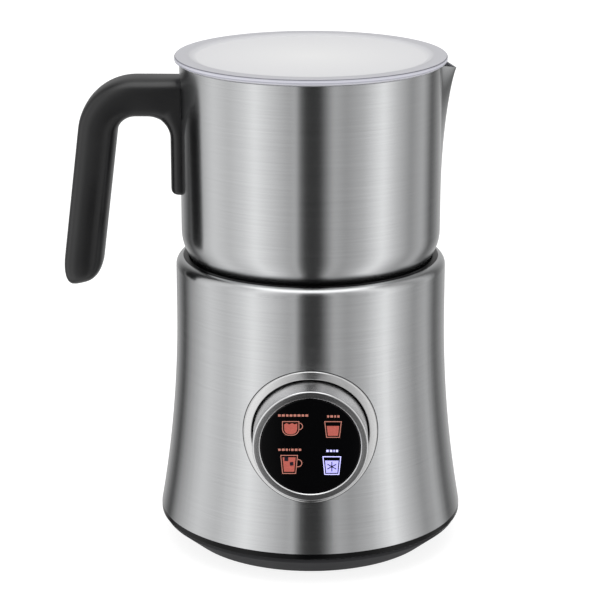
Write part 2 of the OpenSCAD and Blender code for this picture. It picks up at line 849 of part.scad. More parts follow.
// Bright trim that follows the skirt, with a sleeve through it
module dial_trim() {
  color([0.8, 0.8, 0.8]) difference() {
    intersection() {
      skirt_region(0.8);
      dial_tube(trim_out, trim_in, -edge_r - 20, housing_y);
    }
    intersection() {
      skirt_region(0);
      dial_tube(trim_out + 5, sleeve_out, -edge_r - 20, housing_y + 1);
    }
  }
}

// Housing: a plate behind the skirt and a tube that the ring turns on
module dial_housing() {
  color([0.1, 0.1, 0.1]) difference() {
    union() {
      dial_cylinder(sleeve_out + 1, housing_y, housing_y + housing_t);
      dial_cylinder(tube_r, tube_y, housing_y + housing_t);
    }
    dial_cylinder(tube_in, tube_y - 1, board2_y + 1.6);
    dial_cylinder(tube_in - 2, tube_y - 1, housing_y + 0.5);
    translate([0, housing_y, z_dial - 8]) rotate([-90, 0, 0]) cylinder(r = 3, h = 10);
  }
}

module display_board() {
  color([0.1, 0.35, 0.18]) dial_cylinder(tube_in - seat, board2_y, board2_y + 1.6);
}

module display_leds() {
  color([0.95, 0.9, 0.7]) for (p = icon_at)
    translate([p[0] - 1.5, board2_y - 1, z_dial + p[1] - 1.5]) cube([3, 1, 3]);
}

// Push switch with a well for the carrier's stem
module tact_switch() {
  color([0.1, 0.1, 0.1]) difference() {
    translate([-3, board2_y - 4, z_dial - 3]) cube([6, 4, 6]);
    dial_cylinder(stem_r + 0.2, board2_y - 5, board2_y - 1);
  }
}

// Optical pick-up behind the code ring
module turn_sensor() {
  color([0.1, 0.1, 0.12]) translate([0, 0, z_dial]) rotate([0, 45, 0])
    translate([dial_bore + 0.8, housing_y - 2, -2]) cube([3, 2, 4]);
}

// Turning ring: a flat face with a rounded edge, a deep barrel and a bore on the housing
module dial_ring() {
  edge = 0.6;
  color([0.75, 0.75, 0.76]) translate([0, 0, z_dial]) rotate([-90, 0, 0]) rotate_extrude() {
    translate([dial_bore, face_y]) square([dial_r - dial_bore - edge, 4]);
    translate([dial_bore, face_y + edge]) square([dial_r - dial_bore, skin_y + 6.2 - face_y - edge]);
    translate([dial_r - edge, face_y + edge]) circle(r = edge, $fn = 32);
  }
}

// Slotted code ring fixed to the back of the turning ring
module code_ring() {
  code_y = skin_y + 6.2;
  color([0.3, 0.3, 0.32]) difference() {
    dial_tube(dial_r - 0.3, dial_bore + 0.4, code_y, code_y + 1.5);
    for (a = [0:15:345]) translate([0, 0, z_dial]) rotate([0, a, 0])
      translate([dial_bore + 1.2, code_y - 1, -1.2]) cube([1.6, 4, 2.4]);
  }
}

module display_glass() {
  color([0.02, 0.02, 0.02]) dial_cylinder(dial_bore - 0.25, glass_y, glass_y + glass_t);
}

// Carrier behind the glass: a disc with four windows, a guided rim and a stem
module display_carrier() {
  color([0.12, 0.12, 0.12]) {
    difference() {
      dial_cylinder(dial_bore - 0.25, carrier_y, carrier_y + carrier_t);
      for (p = icon_at) translate([p[0] - window / 2, carrier_y - 1, z_dial + p[1] - window / 2])
        cube([window, carrier_t + 2, window]);
    }
    dial_tube(tube_in - run, carrier_in, carrier_y + carrier_t - 0.5, carrier_y + carrier_t + rim_l);
    dial_cylinder(stem_r, carrier_y + carrier_t - 0.5, board2_y - 4 + 1);
  }
}

// Clear blocks that carry the light to the four signs
module light_guides() {
  color([0.9, 0.9, 0.95]) for (p = icon_at)
    translate([p[0] - 3.4, carrier_y, z_dial + p[1] - 3.4]) cube([6.8, 6, 6.8]);
  color([0.9, 0.9, 0.95]) for (p = icon_at)
    translate([p[0] - window / 2, carrier_y, z_dial + p[1] - window / 2])
      cube([window, carrier_t, window]);
}

module display_spring() {
  wire = 0.3;
  turns = 3;
  start = carrier_y + carrier_t + rim_l;
  pitch = (board2_y - start - 2 * wire) / turns;
  color([0.7, 0.7, 0.7]) translate([0, start + wire, z_dial]) rotate([-90, 0, 0])
    swept(spring_rings(tube_in - 0.75, wire, pitch, turns, 24, 6), false);
}

// The jug, its handle and its lid

// The lip's swell above its start, from 0 to 1 at the rim
function spout_rise(z) = pow(max(0, z - z_jug - spout_from) / (jug_h - spout_from), 2.4);

// One level of the lip: a soft V on the wall, closed inside the jug
function spout_ring(z, inset) =
  let (w = spout_w * (0.35 + 0.65 * (z - z_jug - spout_from) / (jug_h - spout_from)))
  concat(
    [
      for (k = [-6:6]) let (y = w * k / 6, t = abs(k) / 6)
        [
          sqrt(pow(jug_r, 2) - pow(y, 2)) - inset - 0.3
            + (spout_reach + 0.3) * spout_rise(z) * (1 - pow(t, 1.15)) / (1 + 0.6 * t * (1 - t)),
          y * (1 - inset / spout_w),
          z
        ]
    ],
    [[jug_r - 8, w * 0.8, z], [jug_r - 8, -w * 0.8, z]]
  );

module spout_solid(inset, top) {
  start = z_jug + spout_from;
  swept([for (i = [0:10]) spout_ring(start + (top - start) * i / 10, inset)], false);
}

module jug_body() {
  tip_x = jug_r + spout_reach;
  color("silver") difference() {
    union() {
      rotate_extrude() jug_section(0, z_rim);
      spout_solid(0, z_rim);
    }
    rotate_extrude() intersection() {
      jug_section(jug_t, z_rim + 1);
      translate([0, z_floor]) square([jug_r, jug_h]);
    }
    spout_solid(jug_t, z_rim + 0.5);
    translate([0, 0, z_jug - 1]) cylinder(r = jug_r - jug_corner - 2, h = 2.2);
    translate([jug_r, -spout_w - 2, z_rim]) rotate([0, atan2(spout_dip, spout_reach), 0])
      cube([2 * spout_reach + 4, 2 * spout_w + 4, 8]);
  }
}

module induction_disc() {
  color([0.65, 0.65, 0.66]) translate([0, 0, z_jug]) cylinder(r = jug_r - jug_corner - 2, h = 1.2);
}

// Pin on the jug's floor that the whisk turns on
module whisk_post() {
  color("silver") {
    translate([0, 0, z_floor]) cylinder(r = 4.6, h = post_flange);
    translate([0, 0, z_floor]) cylinder(r = post_r, h = post_h - post_r);
    translate([0, 0, z_floor + post_h - post_r]) sphere(r = post_r);
  }
}

// Steel saddle welded to the wall under the handle's strip
module saddle(grow) {
  intersection() {
    tube(jug_r + 1.6 + grow, jug_r, z_saddle - grow, z_saddle + bracket_h + grow);
    translate([-jug_r - 10, -saddle_w / 2 - grow, z_saddle - 5])
      cube([14, saddle_w + 2 * grow, bracket_h + 10]);
  }
}
module handle_bracket() {
  color([0.7, 0.7, 0.7]) difference() {
    saddle(0);
    for (h = screw_up)
      translate([-jug_r - 12, 0, z_saddle + h]) rotate([0, 90, 0]) cylinder(r = 1.3, h = 14);
  }
}

// The handle's centre line: the arm, the elbow and the leaning grip
function handle_line(s) =
  s < 0 ? [elbow_x - s, z_arm, 0]
  : s < 1 ? [
      elbow_x - elbow_r * sin(s * elbow_sweep),
      z_arm - elbow_r + elbow_r * cos(s * elbow_sweep),
      s * elbow_sweep
    ]
  : [
      elbow_x - elbow_r * sin(elbow_sweep) - (s - 1) * grip_len * sin(grip_lean),
      z_arm - elbow_r + elbow_r * cos(elbow_sweep) - (s - 1) * grip_len * cos(grip_lean),
      elbow_sweep
    ];

// A rounded-square ring round the centre line, shrunk to size and slanted by tilt
function handle_ring(s, size, tilt) =
  let (c = handle_line(s))
  [
    for (j = [0:19]) let (
      a = 18 * j + 9,
      u = sign(cos(a)) * pow(abs(cos(a)), 0.6) * grip_t / 2 * size,
      v = sign(sin(a)) * pow(abs(sin(a)), 0.6) * grip_w / 2 * size,
      along = u * tan(tilt)
    )
      [
        c[0] - u * sin(c[2]) - along * cos(c[2]),
        v,
        c[1] + u * cos(c[2]) - along * sin(c[2])
      ]
  ];

module handle_grip() {
  color([0.12, 0.12, 0.12]) difference() {
    union() {
      swept(concat(
        [for (s = [-elbow_out - 3, -12, -6]) handle_ring(s, 1, 0)],
        [for (i = [0:10]) handle_ring(i / 10, 1, 0)],
        [for (i = [1:5]) handle_ring(1 + 0.15 * i, 1, 0)],
        [for (i = [0:5]) handle_ring(
          1.83 + 0.17 * sin(18 * i), 1 - 0.45 * (1 - cos(18 * i)), grip_slant * (0.3 + 0.14 * i))]
      ), false);
      intersection() {
        tube(jug_r + strip_t, jug_r - 2, z_jug + strip_from, z_arm);
        translate([-jug_r - 10, -11, z_jug]) cube([24, 22, jug_h]);
      }
    }
    translate([0, 0, z_jug - 1]) cylinder(r = jug_r, h = jug_h + 4);
    saddle(seat);
    for (h = screw_up) translate([-jug_r - 20, 0, z_saddle + h]) rotate([0, 90, 0]) {
      cylinder(r = 1.5, h = 22);
      cylinder(r = 2.9, h = 17.5);
    }
  }
}

// Two short screws through the strip into the saddle, heads sunk
module handle_screws() {
  color("silver") for (h = screw_up) translate([-jug_r - 2.5, 0, z_saddle + h]) rotate([0, 90, 0]) {
    translate([0, 0, -1.4]) cylinder(r = 2.6, h = 1.4);
    cylinder(r = 1.25, h = 2.4);
  }
}

// Lid: a dished plate with an undercut edge and a collar with a gasket groove
module lid_plate() {
  color([0.93, 0.93, 0.95]) difference() {
    union() {
      translate([0, 0, z_lid + lid_h - lid_edge]) cylinder(r = lid_r, h = lid_edge);
      translate([0, 0, z_lid]) cylinder(r1 = lid_r - 1.6, r2 = lid_r, h = lid_h - lid_edge);
      tube(collar_r, collar_r - 2.6, z_lid - collar_h, z_lid + 1);
    }
    translate([0, 0, z_lid + lid_h - lid_dish]) cylinder(r = lid_r - lid_band, h = lid_dish + 1);
    tube(collar_r + 1, collar_r - 1.2, groove_z, groove_z + 3);
  }
}

// Silicone ring with two soft lips
module lid_gasket() {
  seal_r = jug_r - jug_t - 0.15;
  color([0.8, 0.8, 0.82]) {
    tube(collar_r, collar_r - 1.2, groove_z, groove_z + 3);
    tube(seal_r, collar_r - 0.1, groove_z + 0.4, groove_z + 1);
    tube(seal_r, collar_r - 0.1, groove_z + 2, groove_z + 2.6);
  }
}

// The whisk

// Plain bush on the post
module whisk_bush() {
  color([0.95, 0.95, 0.95])
    tube(bush_r, post_r + run, z_floor + post_flange, z_floor + post_flange + bush_h);
}

// Frame: a disc with magnet pockets, a grooved edge and a finger knob over the post
module whisk_frame() {
  top = z_floor + post_h + 1;
  color([0.1, 0.1, 0.11]) difference() {
    union() {
      translate([0, 0, z_whisk]) cylinder(r = whisk_r, h = whisk_t);
      translate([0, 0, z_whisk]) cylinder(r = 6, h = top - z_whisk + 1.5);
      translate([0, 0, top - 1]) cylinder(r = 7.5, h = 2.5);
    }
    translate([0, 0, z_whisk - 1]) cylinder(r = bush_r + run, h = bush_h + 1);
    translate([0, 0, z_whisk]) cylinder(r = post_r + free, h = top - z_whisk);
    for (a = [0:90:270]) rotate(a) translate([magnet_ring, 0, z_whisk + 0.8])
      cylinder(r = magnet_r - 0.3, h = whisk_t);
    translate([0, 0, z_whisk + whisk_t / 2]) rotate_extrude()
      translate([whisk_ring, 0]) circle(r = coil_r + coil_wire + 0.25, $fn = 48);
  }
}

// Fine wire wound round a ring: the foaming coil
module whisk_coil() {
  turns = 36;
  steps = 8;
  color("silver") translate([0, 0, z_whisk + whisk_t / 2]) swept([
    for (i = [0:turns * steps - 1]) let (a = 360 * i / (turns * steps), b = 360 * i / steps)
      [
        for (j = [0:3]) let (
          c = 90 * j,
          r = coil_r + coil_wire * cos(c),
          lift = coil_wire * sin(c)
        )
          [
            (whisk_ring + r * cos(b)) * cos(a) - lift * sin(a),
            (whisk_ring + r * cos(b)) * sin(a) + lift * cos(a),
            r * sin(b)
          ]
      ]
  ], true);
}

module whisk_magnets() {
  color([0.7, 0.7, 0.72]) for (a = [0:90:270]) rotate(a)
    translate([magnet_ring, 0, z_whisk + 0.8]) cylinder(r = magnet_r - 0.3, h = whisk_t - 0.8);
}

base_shell();
well_liner();
mica_disc();
coil_former();
induction_coil();
ferrite_bars();
former_screws();
sensor_sleeve();
chassis();
motor_can();
motor_end_cap();
field_magnets();
motor_bracket();
motor_screws();
bracket_grommets();
bracket_bolts();
power_board();
board_screws();
filter_capacitors();
line_choke();
heat_sink();
power_transistor();
terminal_block();
fan_frame();
base_ring();
base_pan();
pan_screws();
foot_ring();
cord_gland();
dial_trim();
dial_housing();
display_board();
display_leds();
tact_switch();
turn_sensor();
motor_shaft();
armature();
magnet_carrier();
drive_magnets();
fan_rotor();
sensor_cap();
sensor_spring();
dial_ring();
code_ring();
display_glass();
display_carrier();
light_guides();
display_spring();
jug_body();
induction_disc();
whisk_post();
handle_bracket();
handle_grip();
handle_screws();
lid_plate();
lid_gasket();
whisk_bush();
whisk_frame();
whisk_coil();
whisk_magnets();
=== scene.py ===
from math import cos, pi, radians, sin, tan

import bpy
import numpy as np
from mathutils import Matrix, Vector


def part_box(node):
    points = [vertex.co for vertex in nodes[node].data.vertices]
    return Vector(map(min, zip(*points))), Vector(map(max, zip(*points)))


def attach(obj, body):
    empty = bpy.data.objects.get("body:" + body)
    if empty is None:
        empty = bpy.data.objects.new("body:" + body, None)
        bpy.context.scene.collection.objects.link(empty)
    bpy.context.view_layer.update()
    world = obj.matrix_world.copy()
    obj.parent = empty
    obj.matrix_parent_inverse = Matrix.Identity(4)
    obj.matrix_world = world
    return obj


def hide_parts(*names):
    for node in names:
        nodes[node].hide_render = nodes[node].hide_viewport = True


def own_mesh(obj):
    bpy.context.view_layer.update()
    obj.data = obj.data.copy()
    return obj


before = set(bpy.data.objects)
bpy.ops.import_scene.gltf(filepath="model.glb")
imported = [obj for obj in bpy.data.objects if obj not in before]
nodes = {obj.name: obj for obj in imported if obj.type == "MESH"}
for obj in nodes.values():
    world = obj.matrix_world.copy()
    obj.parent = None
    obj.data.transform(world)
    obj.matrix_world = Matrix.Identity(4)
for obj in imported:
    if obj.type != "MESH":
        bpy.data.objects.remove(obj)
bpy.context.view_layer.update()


# --- Studio -----------------------------------------------------------------------------------
# A pale floor, a camera with a long lens, and a round tent of bright and dark cloth strips.
# The strips stand upright, so they give brushed steel its upright bands; the open top lights the rest.


def linear(code):
    """Linear colour of an sRGB hex value: each channel's share of 255, taken off the sRGB curve."""
    shares = [int(code[i : i + 2], 16) / 255 for i in (1, 3, 5)]
    return [c / 12.92 if c <= 0.04045 else ((c + 0.055) / 1.055) ** 2.4 for c in shares] + [1.0]


def add(tree, kind, settings=None, inputs=None):
    """Adds a shader node and gives its outputs. An input takes a value, or another node's output to link;
    the setting stops fills a colour ramp with (place, hex colour) pairs."""
    made = tree.nodes.new("ShaderNode" + kind)
    for name, value in (settings or {}).items():
        if name == "stops":
            ramp = made.color_ramp.elements
            for place, code in value[2:]:
                ramp.new(place)
            for element, (place, code) in zip(ramp, sorted(value)):
                element.position = place
                element.color = linear(code)
        else:
            setattr(made, name, value)
    for name, value in (inputs or {}).items():
        if isinstance(value, bpy.types.NodeSocket):
            tree.links.new(value, made.inputs[name])
        else:
            made.inputs[name].default_value = value
    return made.outputs


# Cloth strips by compass angle in degrees: 0 is the front, and +90 the side that the lip is on.
# The cloth fades evenly from each strip's tone to the next.
strips = [
    (-180, "#8E8E8E"), (-160, "#8E8E8E"), (-147, "#6C6C6C"), (-136, "#323232"), (-124, "#888888"),
    (-110, "#A8A8A8"), (-95, "#C2C2C2"), (-76, "#B0B0B0"), (-62, "#C2C2C2"), (-50, "#DADADA"),
    (-38, "#C2C2C2"), (-28, "#AEAEAE"), (-18, "#989898"), (-13, "#A8A8A8"), (-9, "#585858"),
    (-4, "#2E2E2E"), (8, "#2E2E2E"), (12, "#606060"), (20, "#A0A0A0"), (31, "#8C8C8C"),
    (46, "#A4A4A4"), (66, "#DCDCDC"), (80, "#B4B4B4"), (98, "#848484"), (115, "#A2A2A2"),
    (131, "#4C4C4C"), (146, "#787878"), (160, "#929292"), (180, "#8E8E8E"),
]
cloth_power, top_power = 1.9, 2.3
studio = bpy.data.worlds.new("studio")
bpy.context.scene.world = studio
studio.use_nodes = True
tree = studio.node_tree
tree.nodes.clear()
way = add(tree, "SeparateXYZ", None, {0: add(tree, "TexCoord")["Generated"]})
front = add(tree, "Math", {"operation": "MULTIPLY"}, {0: way["Y"], 1: -1.0})["Value"]
compass = add(tree, "Math", {"operation": "ARCTAN2"}, {0: way["X"], 1: front})["Value"]
share = add(tree, "MapRange", None, {"Value": compass, "From Min": -pi, "From Max": pi})["Result"]
cloth = add(tree, "ValToRGB", {"stops": [(a / 360 + 0.5, code) for a, code in strips]}, {"Fac": share})
# The open top begins about 53 degrees up, and is all there is from 76 degrees
high = add(tree, "MapRange", {"interpolation_type": "SMOOTHSTEP"},
           {"Value": way["Z"], "From Min": 0.8, "From Max": 0.97})["Result"]
tent = add(tree, "Background", None, {"Color": cloth["Color"], "Strength": cloth_power})
top = add(tree, "Background", None, {"Color": linear("#FFFFFF"), "Strength": top_power})
behind = add(tree, "Background", None, {"Color": linear("#FFFFFF"), "Strength": 1.0})
lit = add(tree, "MixShader", None, {0: high, 1: tent[0], 2: top[0]})
seen = add(tree, "LightPath")["Is Camera Ray"]
shown = add(tree, "MixShader", None, {0: seen, 1: lit[0], 2: behind[0]})
add(tree, "OutputWorld", None, {"Surface": shown[0]})

tilt, swing = 16.611, 0.284
camera = bpy.data.objects.new("camera", bpy.data.cameras.new("camera"))
bpy.context.scene.collection.objects.link(camera)
bpy.context.scene.camera = camera
camera.data.lens = 133.84
camera.data.sensor_width = 36
camera.location = (0, -0.9869, 0.4067)
camera.rotation_euler = (radians(90 - tilt), 0, radians(swing))
bpy.context.scene.view_settings.view_transform = "Standard"

floor_reach = 6
floor_mesh = bpy.data.meshes.new("studio_floor")
corners = [(x * floor_reach, y * floor_reach, 0) for x, y in ((-1, -1), (1, -1), (1, 1), (-1, 1))]
floor_mesh.from_pydata(corners, [], [(0, 1, 2, 3)])
floor = bpy.data.objects.new("studio_floor", floor_mesh)
bpy.context.scene.collection.objects.link(floor)
# Steel shows the tent down to its foot, and not the paper
floor.visible_glossy = False


def blank(name):
    """A new material and its empty node tree."""
    made = bpy.data.materials.new(name)
    made.use_nodes = True
    made.node_tree.nodes.clear()
    return made, made.node_tree


# Matt white paper: faintly mottled in patches of 0.3 m, with its own glow, so that shadows stay faint
paper, tree = blank("white_background_paper")
spot = add(tree, "TexCoord")["Object"]
mottle = add(tree, "TexNoise", None, {"Vector": spot, "Scale": 3.0})["Fac"]
white = add(tree, "ValToRGB", {"stops": [(0.3, "#9A9A9A"), (0.7, "#9C9C9C")]}, {"Fac": mottle})
shader = add(tree, "BsdfPrincipled", None, {"Base Color": white["Color"], "Roughness": 0.9,
                                            "Emission Color": linear("#FFFFFF"), "Emission Strength": 0.85})
add(tree, "OutputMaterial", None, {"Surface": shader["BSDF"]})
floor_mesh.materials.append(paper)


# --- Skirt ------------------------------------------------------------------------------------
# The base's outer skin: 0.8 mm stainless sheet, spun to a flare below and curled to a crown above.
# It is brushed round its axis, so the grain runs level and the highlights stand upright.


def brushed(name, dark, light, roughness, axis, centre, line):
    """Metal brushed or turned in rings round an axis, with lines this far apart. The grain is noise
    that runs slowly round the axis and fast along and out from it, and the tangent crosses the rings."""
    made, tree = blank(name)
    spot = add(tree, "TexCoord")
    arm = add(tree, "VectorMath", {"operation": "SUBTRACT"}, {0: spot["Object"], 1: centre})["Vector"]
    round_it = add(tree, "VectorMath", {"operation": "CROSS_PRODUCT"}, {0: axis, 1: arm})["Vector"]
    out = add(tree, "VectorMath", {"operation": "LENGTH"}, {0: round_it})["Value"]
    turn = add(tree, "VectorMath", {"operation": "NORMALIZE"}, {0: round_it})["Vector"]
    up = add(tree, "VectorMath", {"operation": "DOT_PRODUCT"}, {0: arm, 1: axis})["Value"]
    up_lines = add(tree, "Math", {"operation": "MULTIPLY"}, {0: up, 1: 1 / line})["Value"]
    out_lines = add(tree, "Math", {"operation": "MULTIPLY"}, {0: out, 1: 1 / line})["Value"]
    rise = add(tree, "VectorMath", {"operation": "SCALE"}, {0: axis, "Scale": up_lines})["Vector"]
    place = add(tree, "VectorMath", {"operation": "MULTIPLY_ADD"}, {0: turn, 1: (1.4, 1.4, 1.4), 2: rise})
    grain = add(tree, "TexNoise", {"noise_dimensions": "4D"},
                {"Vector": place["Vector"], "W": out_lines, "Scale": 1.0, "Detail": 4.0, "Roughness": 0.7})
    tone = add(tree, "ValToRGB", {"stops": [(0.25, dark), (0.75, light)]}, {"Fac": grain["Fac"]})
    rough = add(tree, "MapRange", None, {"Value": grain["Fac"], "From Min": 0.25, "From Max": 0.75,
                                         "To Min": roughness - 0.03, "To Max": roughness + 0.03})
    bump = add(tree, "Bump", None, {"Height": grain["Fac"], "Strength": 0.2, "Distance": 0.00001})
    cross = add(tree, "VectorMath", {"operation": "CROSS_PRODUCT"}, {0: round_it, 1: spot["Normal"]})
    tangent = add(tree, "VectorTransform",
                  {"vector_type": "VECTOR", "convert_from": "OBJECT", "convert_to": "WORLD"},
                  {0: cross["Vector"]})
    shader = add(tree, "BsdfPrincipled", None, {"Base Color": tone["Color"], "Metallic": 1.0,
                                                "Roughness": rough["Result"], "Anisotropic": 0.85,
                                                "Tangent": tangent[0], "Normal": bump["Normal"]})
    add(tree, "OutputMaterial", None, {"Surface": shader["BSDF"]})
    return made


def dress(finish, *names):
    """Gives CAD nodes this finish."""
    for name in names:
        nodes[name].data.materials.clear()
        nodes[name].data.materials.append(finish)


upright = (0.0, 0.0, 1.0)
# Brushed stainless: a neutral grey that draws highlights out into upright bands, with fine level lines.
# Real lines are under 0.1 mm apart; 0.5 mm is the finest that shows.
skirt_steel = brushed("brushed_stainless_steel", "#BEBFC0", "#C9CACB", 0.21, upright, (0, 0, 0), 0.0005)
dress(skirt_steel, "base_shell")


# --- Bottom: ring, pan, foot and lead entry -----------------------------------------------------
# A polished ABS ring closes the skirt's edge; the pan below it is textured ABS with a round shoulder.
# Four screws hold the pan, a rubber ring stands in its groove, and a nylon gland takes the lead.


def moulded(name, dark, light, roughness, grain, depth, more=None):
    """Moulded plastic or rubber: noise of the mould's grain size as fine bumps, and a soft cloud of
    3 cm patches that shifts the colour and the gloss a little."""
    made, tree = blank(name)
    spot = add(tree, "TexCoord")["Object"]
    fine = add(tree, "TexNoise", None, {"Vector": spot, "Scale": 1 / grain, "Detail": 2.0})["Fac"]
    cloud = add(tree, "TexNoise", None, {"Vector": spot, "Scale": 1 / 0.03, "Detail": 3.0})["Fac"]
    tone = add(tree, "ValToRGB", {"stops": [(0.3, dark), (0.7, light)]}, {"Fac": cloud})["Color"]
    rough = add(tree, "MapRange", None, {"Value": cloud, "From Min": 0.3, "From Max": 0.7,
                                         "To Min": roughness * 0.85, "To Max": roughness * 1.15})
    bump = add(tree, "Bump", None, {"Height": fine, "Strength": 0.5, "Distance": depth})["Normal"]
    shader = add(tree, "BsdfPrincipled", None, {"Base Color": tone, "Roughness": rough["Result"],
                                                "Normal": bump, **(more or {})})
    add(tree, "OutputMaterial", None, {"Surface": shader["BSDF"]})
    return made


def plated(name, dark, light, roughness, grain):
    """Bare or plated metal: noise of the crystal or drawing grain's size in colour, gloss and bumps."""
    made, tree = blank(name)
    spot = add(tree, "TexCoord")["Object"]
    fine = add(tree, "TexNoise", None, {"Vector": spot, "Scale": 1 / grain, "Detail": 3.0})["Fac"]
    tone = add(tree, "ValToRGB", {"stops": [(0.3, dark), (0.7, light)]}, {"Fac": fine})["Color"]
    rough = add(tree, "MapRange", None, {"Value": fine, "From Min": 0.3, "From Max": 0.7,
                                         "To Min": roughness * 0.8, "To Max": roughness * 1.2})
    bump = add(tree, "Bump", None, {"Height": fine, "Strength": 0.3, "Distance": 0.00002})["Normal"]
    shader = add(tree, "BsdfPrincipled", None, {"Base Color": tone, "Metallic": 1.0,
                                                "Roughness": rough["Result"], "Normal": bump})
    add(tree, "OutputMaterial", None, {"Surface": shader["BSDF"]})
    return made


# Polished ABS: near-black and mirror-like, with a faint orange peel
gloss_black = moulded("polished_black_abs", "#060607", "#09090A", 0.16, 0.004, 0.00001,
                      {"Specular IOR Level": 0.15})
# Spark-eroded ABS: dark grey, with a sparkle of 0.6 mm grain that breaks up reflections
textured_grey = moulded("spark_eroded_grey_abs", "#242426", "#2B2B2D", 0.55, 0.0006, 0.00003,
                        {"Specular IOR Level": 0.12})
# Rubber: a dull black that hardly shines
soft_rubber = moulded("moulded_black_rubber", "#121212", "#191919", 0.8, 0.0008, 0.00003)
# Glass-filled nylon: black with a soft broad shine
nylon_black = moulded("moulded_black_nylon", "#101011", "#18181A", 0.5, 0.0007, 0.00002)
# Zinc plate: a cold silver with faint crystals of 1.2 mm
zinc_steel = plated("zinc_plated_steel", "#9A9DA2", "#B4B7BC", 0.3, 0.0012)
dress(gloss_black, "base_ring", "well_liner")
dress(textured_grey, "base_pan")
dress(soft_rubber, "foot_ring", "bracket_grommets")
dress(nylon_black, "cord_gland")
screws = ["pan_screws", "former_screws", "motor_screws", "bracket_bolts", "board_screws", "handle_screws"]
dress(zinc_steel, "motor_can", "motor_bracket", "handle_bracket", *screws)


# --- Well rim -----------------------------------------------------------------------------------------
# The black well lining ends in a thin bead that covers the inner half of the steel crown.
# It shields the brushed steel from the jug, and gives the dark gap round the jug's foot.


def arcs(corners, steps=6):
    """Points along a line through corners (across, up, radius), where each round corner is an arc
    tangent to its two sides, in equal steps."""
    line = []
    for i, (across, up, radius) in enumerate(corners):
        here = np.array([across, up])
        if radius == 0 or i in (0, len(corners) - 1):
            line.append(here[None])
            continue
        before = np.array(corners[i - 1][:2]) - here
        after = np.array(corners[i + 1][:2]) - here
        before, after = before / np.linalg.norm(before), after / np.linalg.norm(after)
        half = np.arccos(before @ after) / 2
        centre = here + (before + after) / np.linalg.norm(before + after) * radius / np.sin(half)
        ends = [here + side * radius / np.tan(half) - centre for side in (before, after)]
        t = np.linspace(0, 1, steps + 1)[:, None]
        sweep = pi - 2 * half
        turned = np.sin((1 - t) * sweep) * ends[0] + np.sin(t * sweep) * ends[1]
        line.append(centre + turned / np.sin(sweep))
    return np.vstack(line)


def stepped(line, step):
    """The line with points added, so that neighbours are no further apart than step."""
    gaps = np.linalg.norm(np.diff(line, axis=0), axis=1)
    t = np.concatenate([i + np.arange(n) / n for i, n in enumerate(np.maximum(1, np.ceil(gaps / step)))])
    t = np.append(t, len(line) - 1)
    return np.stack([np.interp(t, np.arange(len(line)), line[:, k]) for k in (0, 1)], -1)


def skin(grid, ring=False):
    """A closed skin through a grid of points. Columns join all round; rows join up too if ring is
    true, or end in fans to the end rows' middles. A skin that encloses less than nothing is turned."""
    rows, cols = grid.shape[:2]
    index = np.arange(rows * cols).reshape(rows, cols)
    here, there = (index, np.roll(index, -1, 0)) if ring else (index[:-1], index[1:])
    quads = np.stack([here, np.roll(here, -1, 1), np.roll(there, -1, 1), there], -1).reshape(-1, 4)
    points = grid.reshape(-1, 3)
    fans = np.zeros((0, 3), int)
    if not ring:
        points = np.vstack([points, grid[0].mean(0), grid[-1].mean(0)])
        first, last = index[0], index[-1]
        fans = np.vstack([
            np.stack([np.roll(first, -1), first, np.full(cols, rows * cols)], -1),
            np.stack([last, np.roll(last, -1), np.full(cols, rows * cols + 1)], -1),
        ])
    halves = np.vstack([quads[:, [0, 1, 2]], quads[:, [0, 2, 3]], fans])
    a, b, c = (points[halves[:, k]] - points.mean(0) for k in range(3))
    if np.einsum("ij,ij->", a, np.cross(b, c)) < 0:
        quads, fans = quads[:, ::-1], fans[:, ::-1]
    return points, quads, fans


def piece(name, skins, finish, body, stands_for=(), crease=40):
    """One object from skins: smooth below the crease angle, riding on a body, with its finish's slot."""
    points, faces, start = [], [], 0
    for some, quads, fans in skins:
        points.append(some)
        faces += (quads + start).tolist() + (fans + start).tolist()
        start += len(some)
    mesh = bpy.data.meshes.new(name)
    mesh.from_pydata(np.vstack(points), [], faces)
    mesh.shade_smooth()
    mesh.set_sharp_from_angle(angle=radians(crease))
    mesh.materials.append(finish)
    made = bpy.data.objects.new(name, mesh)
    bpy.context.scene.collection.objects.link(made)
    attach(made, body)
    if stands_for:
        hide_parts(*stands_for)
    return made


dial_z = (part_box("dial_ring")[0].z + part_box("dial_ring")[1].z) / 2


def spun(line, toward_front=False, columns=192):
    """A grid of (out, up) points spun about the upright axis, or about the dial's axis with up
    toward the front."""
    turn = np.linspace(0, 2 * pi, columns, endpoint=False)
    across, side = line[:, :1] * np.cos(turn), line[:, :1] * np.sin(turn)
    up = np.repeat(line[:, 1:], columns, 1)
    if toward_front:
        return np.stack([across, -up, side + dial_z], -1)
    return np.stack([across, side, up], -1)


skirt_low, skirt_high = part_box("base_shell")
edge_r, edge_z = skirt_high.x, skirt_low.z
flare, waist_up, crown_r, curl_r = 0.0084, 0.095, 0.0046, 0.0025
crown_x, crown_z = edge_r - flare - crown_r, skirt_high.z
bead_t, bead_root = 0.00025, 0.0006
# The bead follows the crown's outer arc up to its top, and the tighter curl beyond it. It rises by
# a sine from nothing at its outer edge, and its root is sunk in the steel.
turn = np.linspace(radians(73), radians(215), 36)
bend = np.where(turn < pi / 2, crown_r, curl_r)
way = np.stack([np.cos(turn), np.sin(turn)], -1)
middle = np.stack([0 * bend + crown_x, crown_z - bend], -1)
outer = middle + way * (bend + bead_t * np.sin(np.clip((turn - turn[0]) * 4, 0, pi / 2)))[:, None]
root = middle + way * (bend - bead_root)[:, None]
section = np.vstack([outer, root[::-1]])
piece("well_rim_bead", [skin(spun(section), ring=True)], gloss_black, "base")


# --- Induction heater and temperature sensor ------------------------------------------------------
# Copper litz wound on a PBT former, under a mica sheet and over ferrite bars that carry the field.
# A sprung aluminium cap in a PBT sleeve feels the jug's floor.

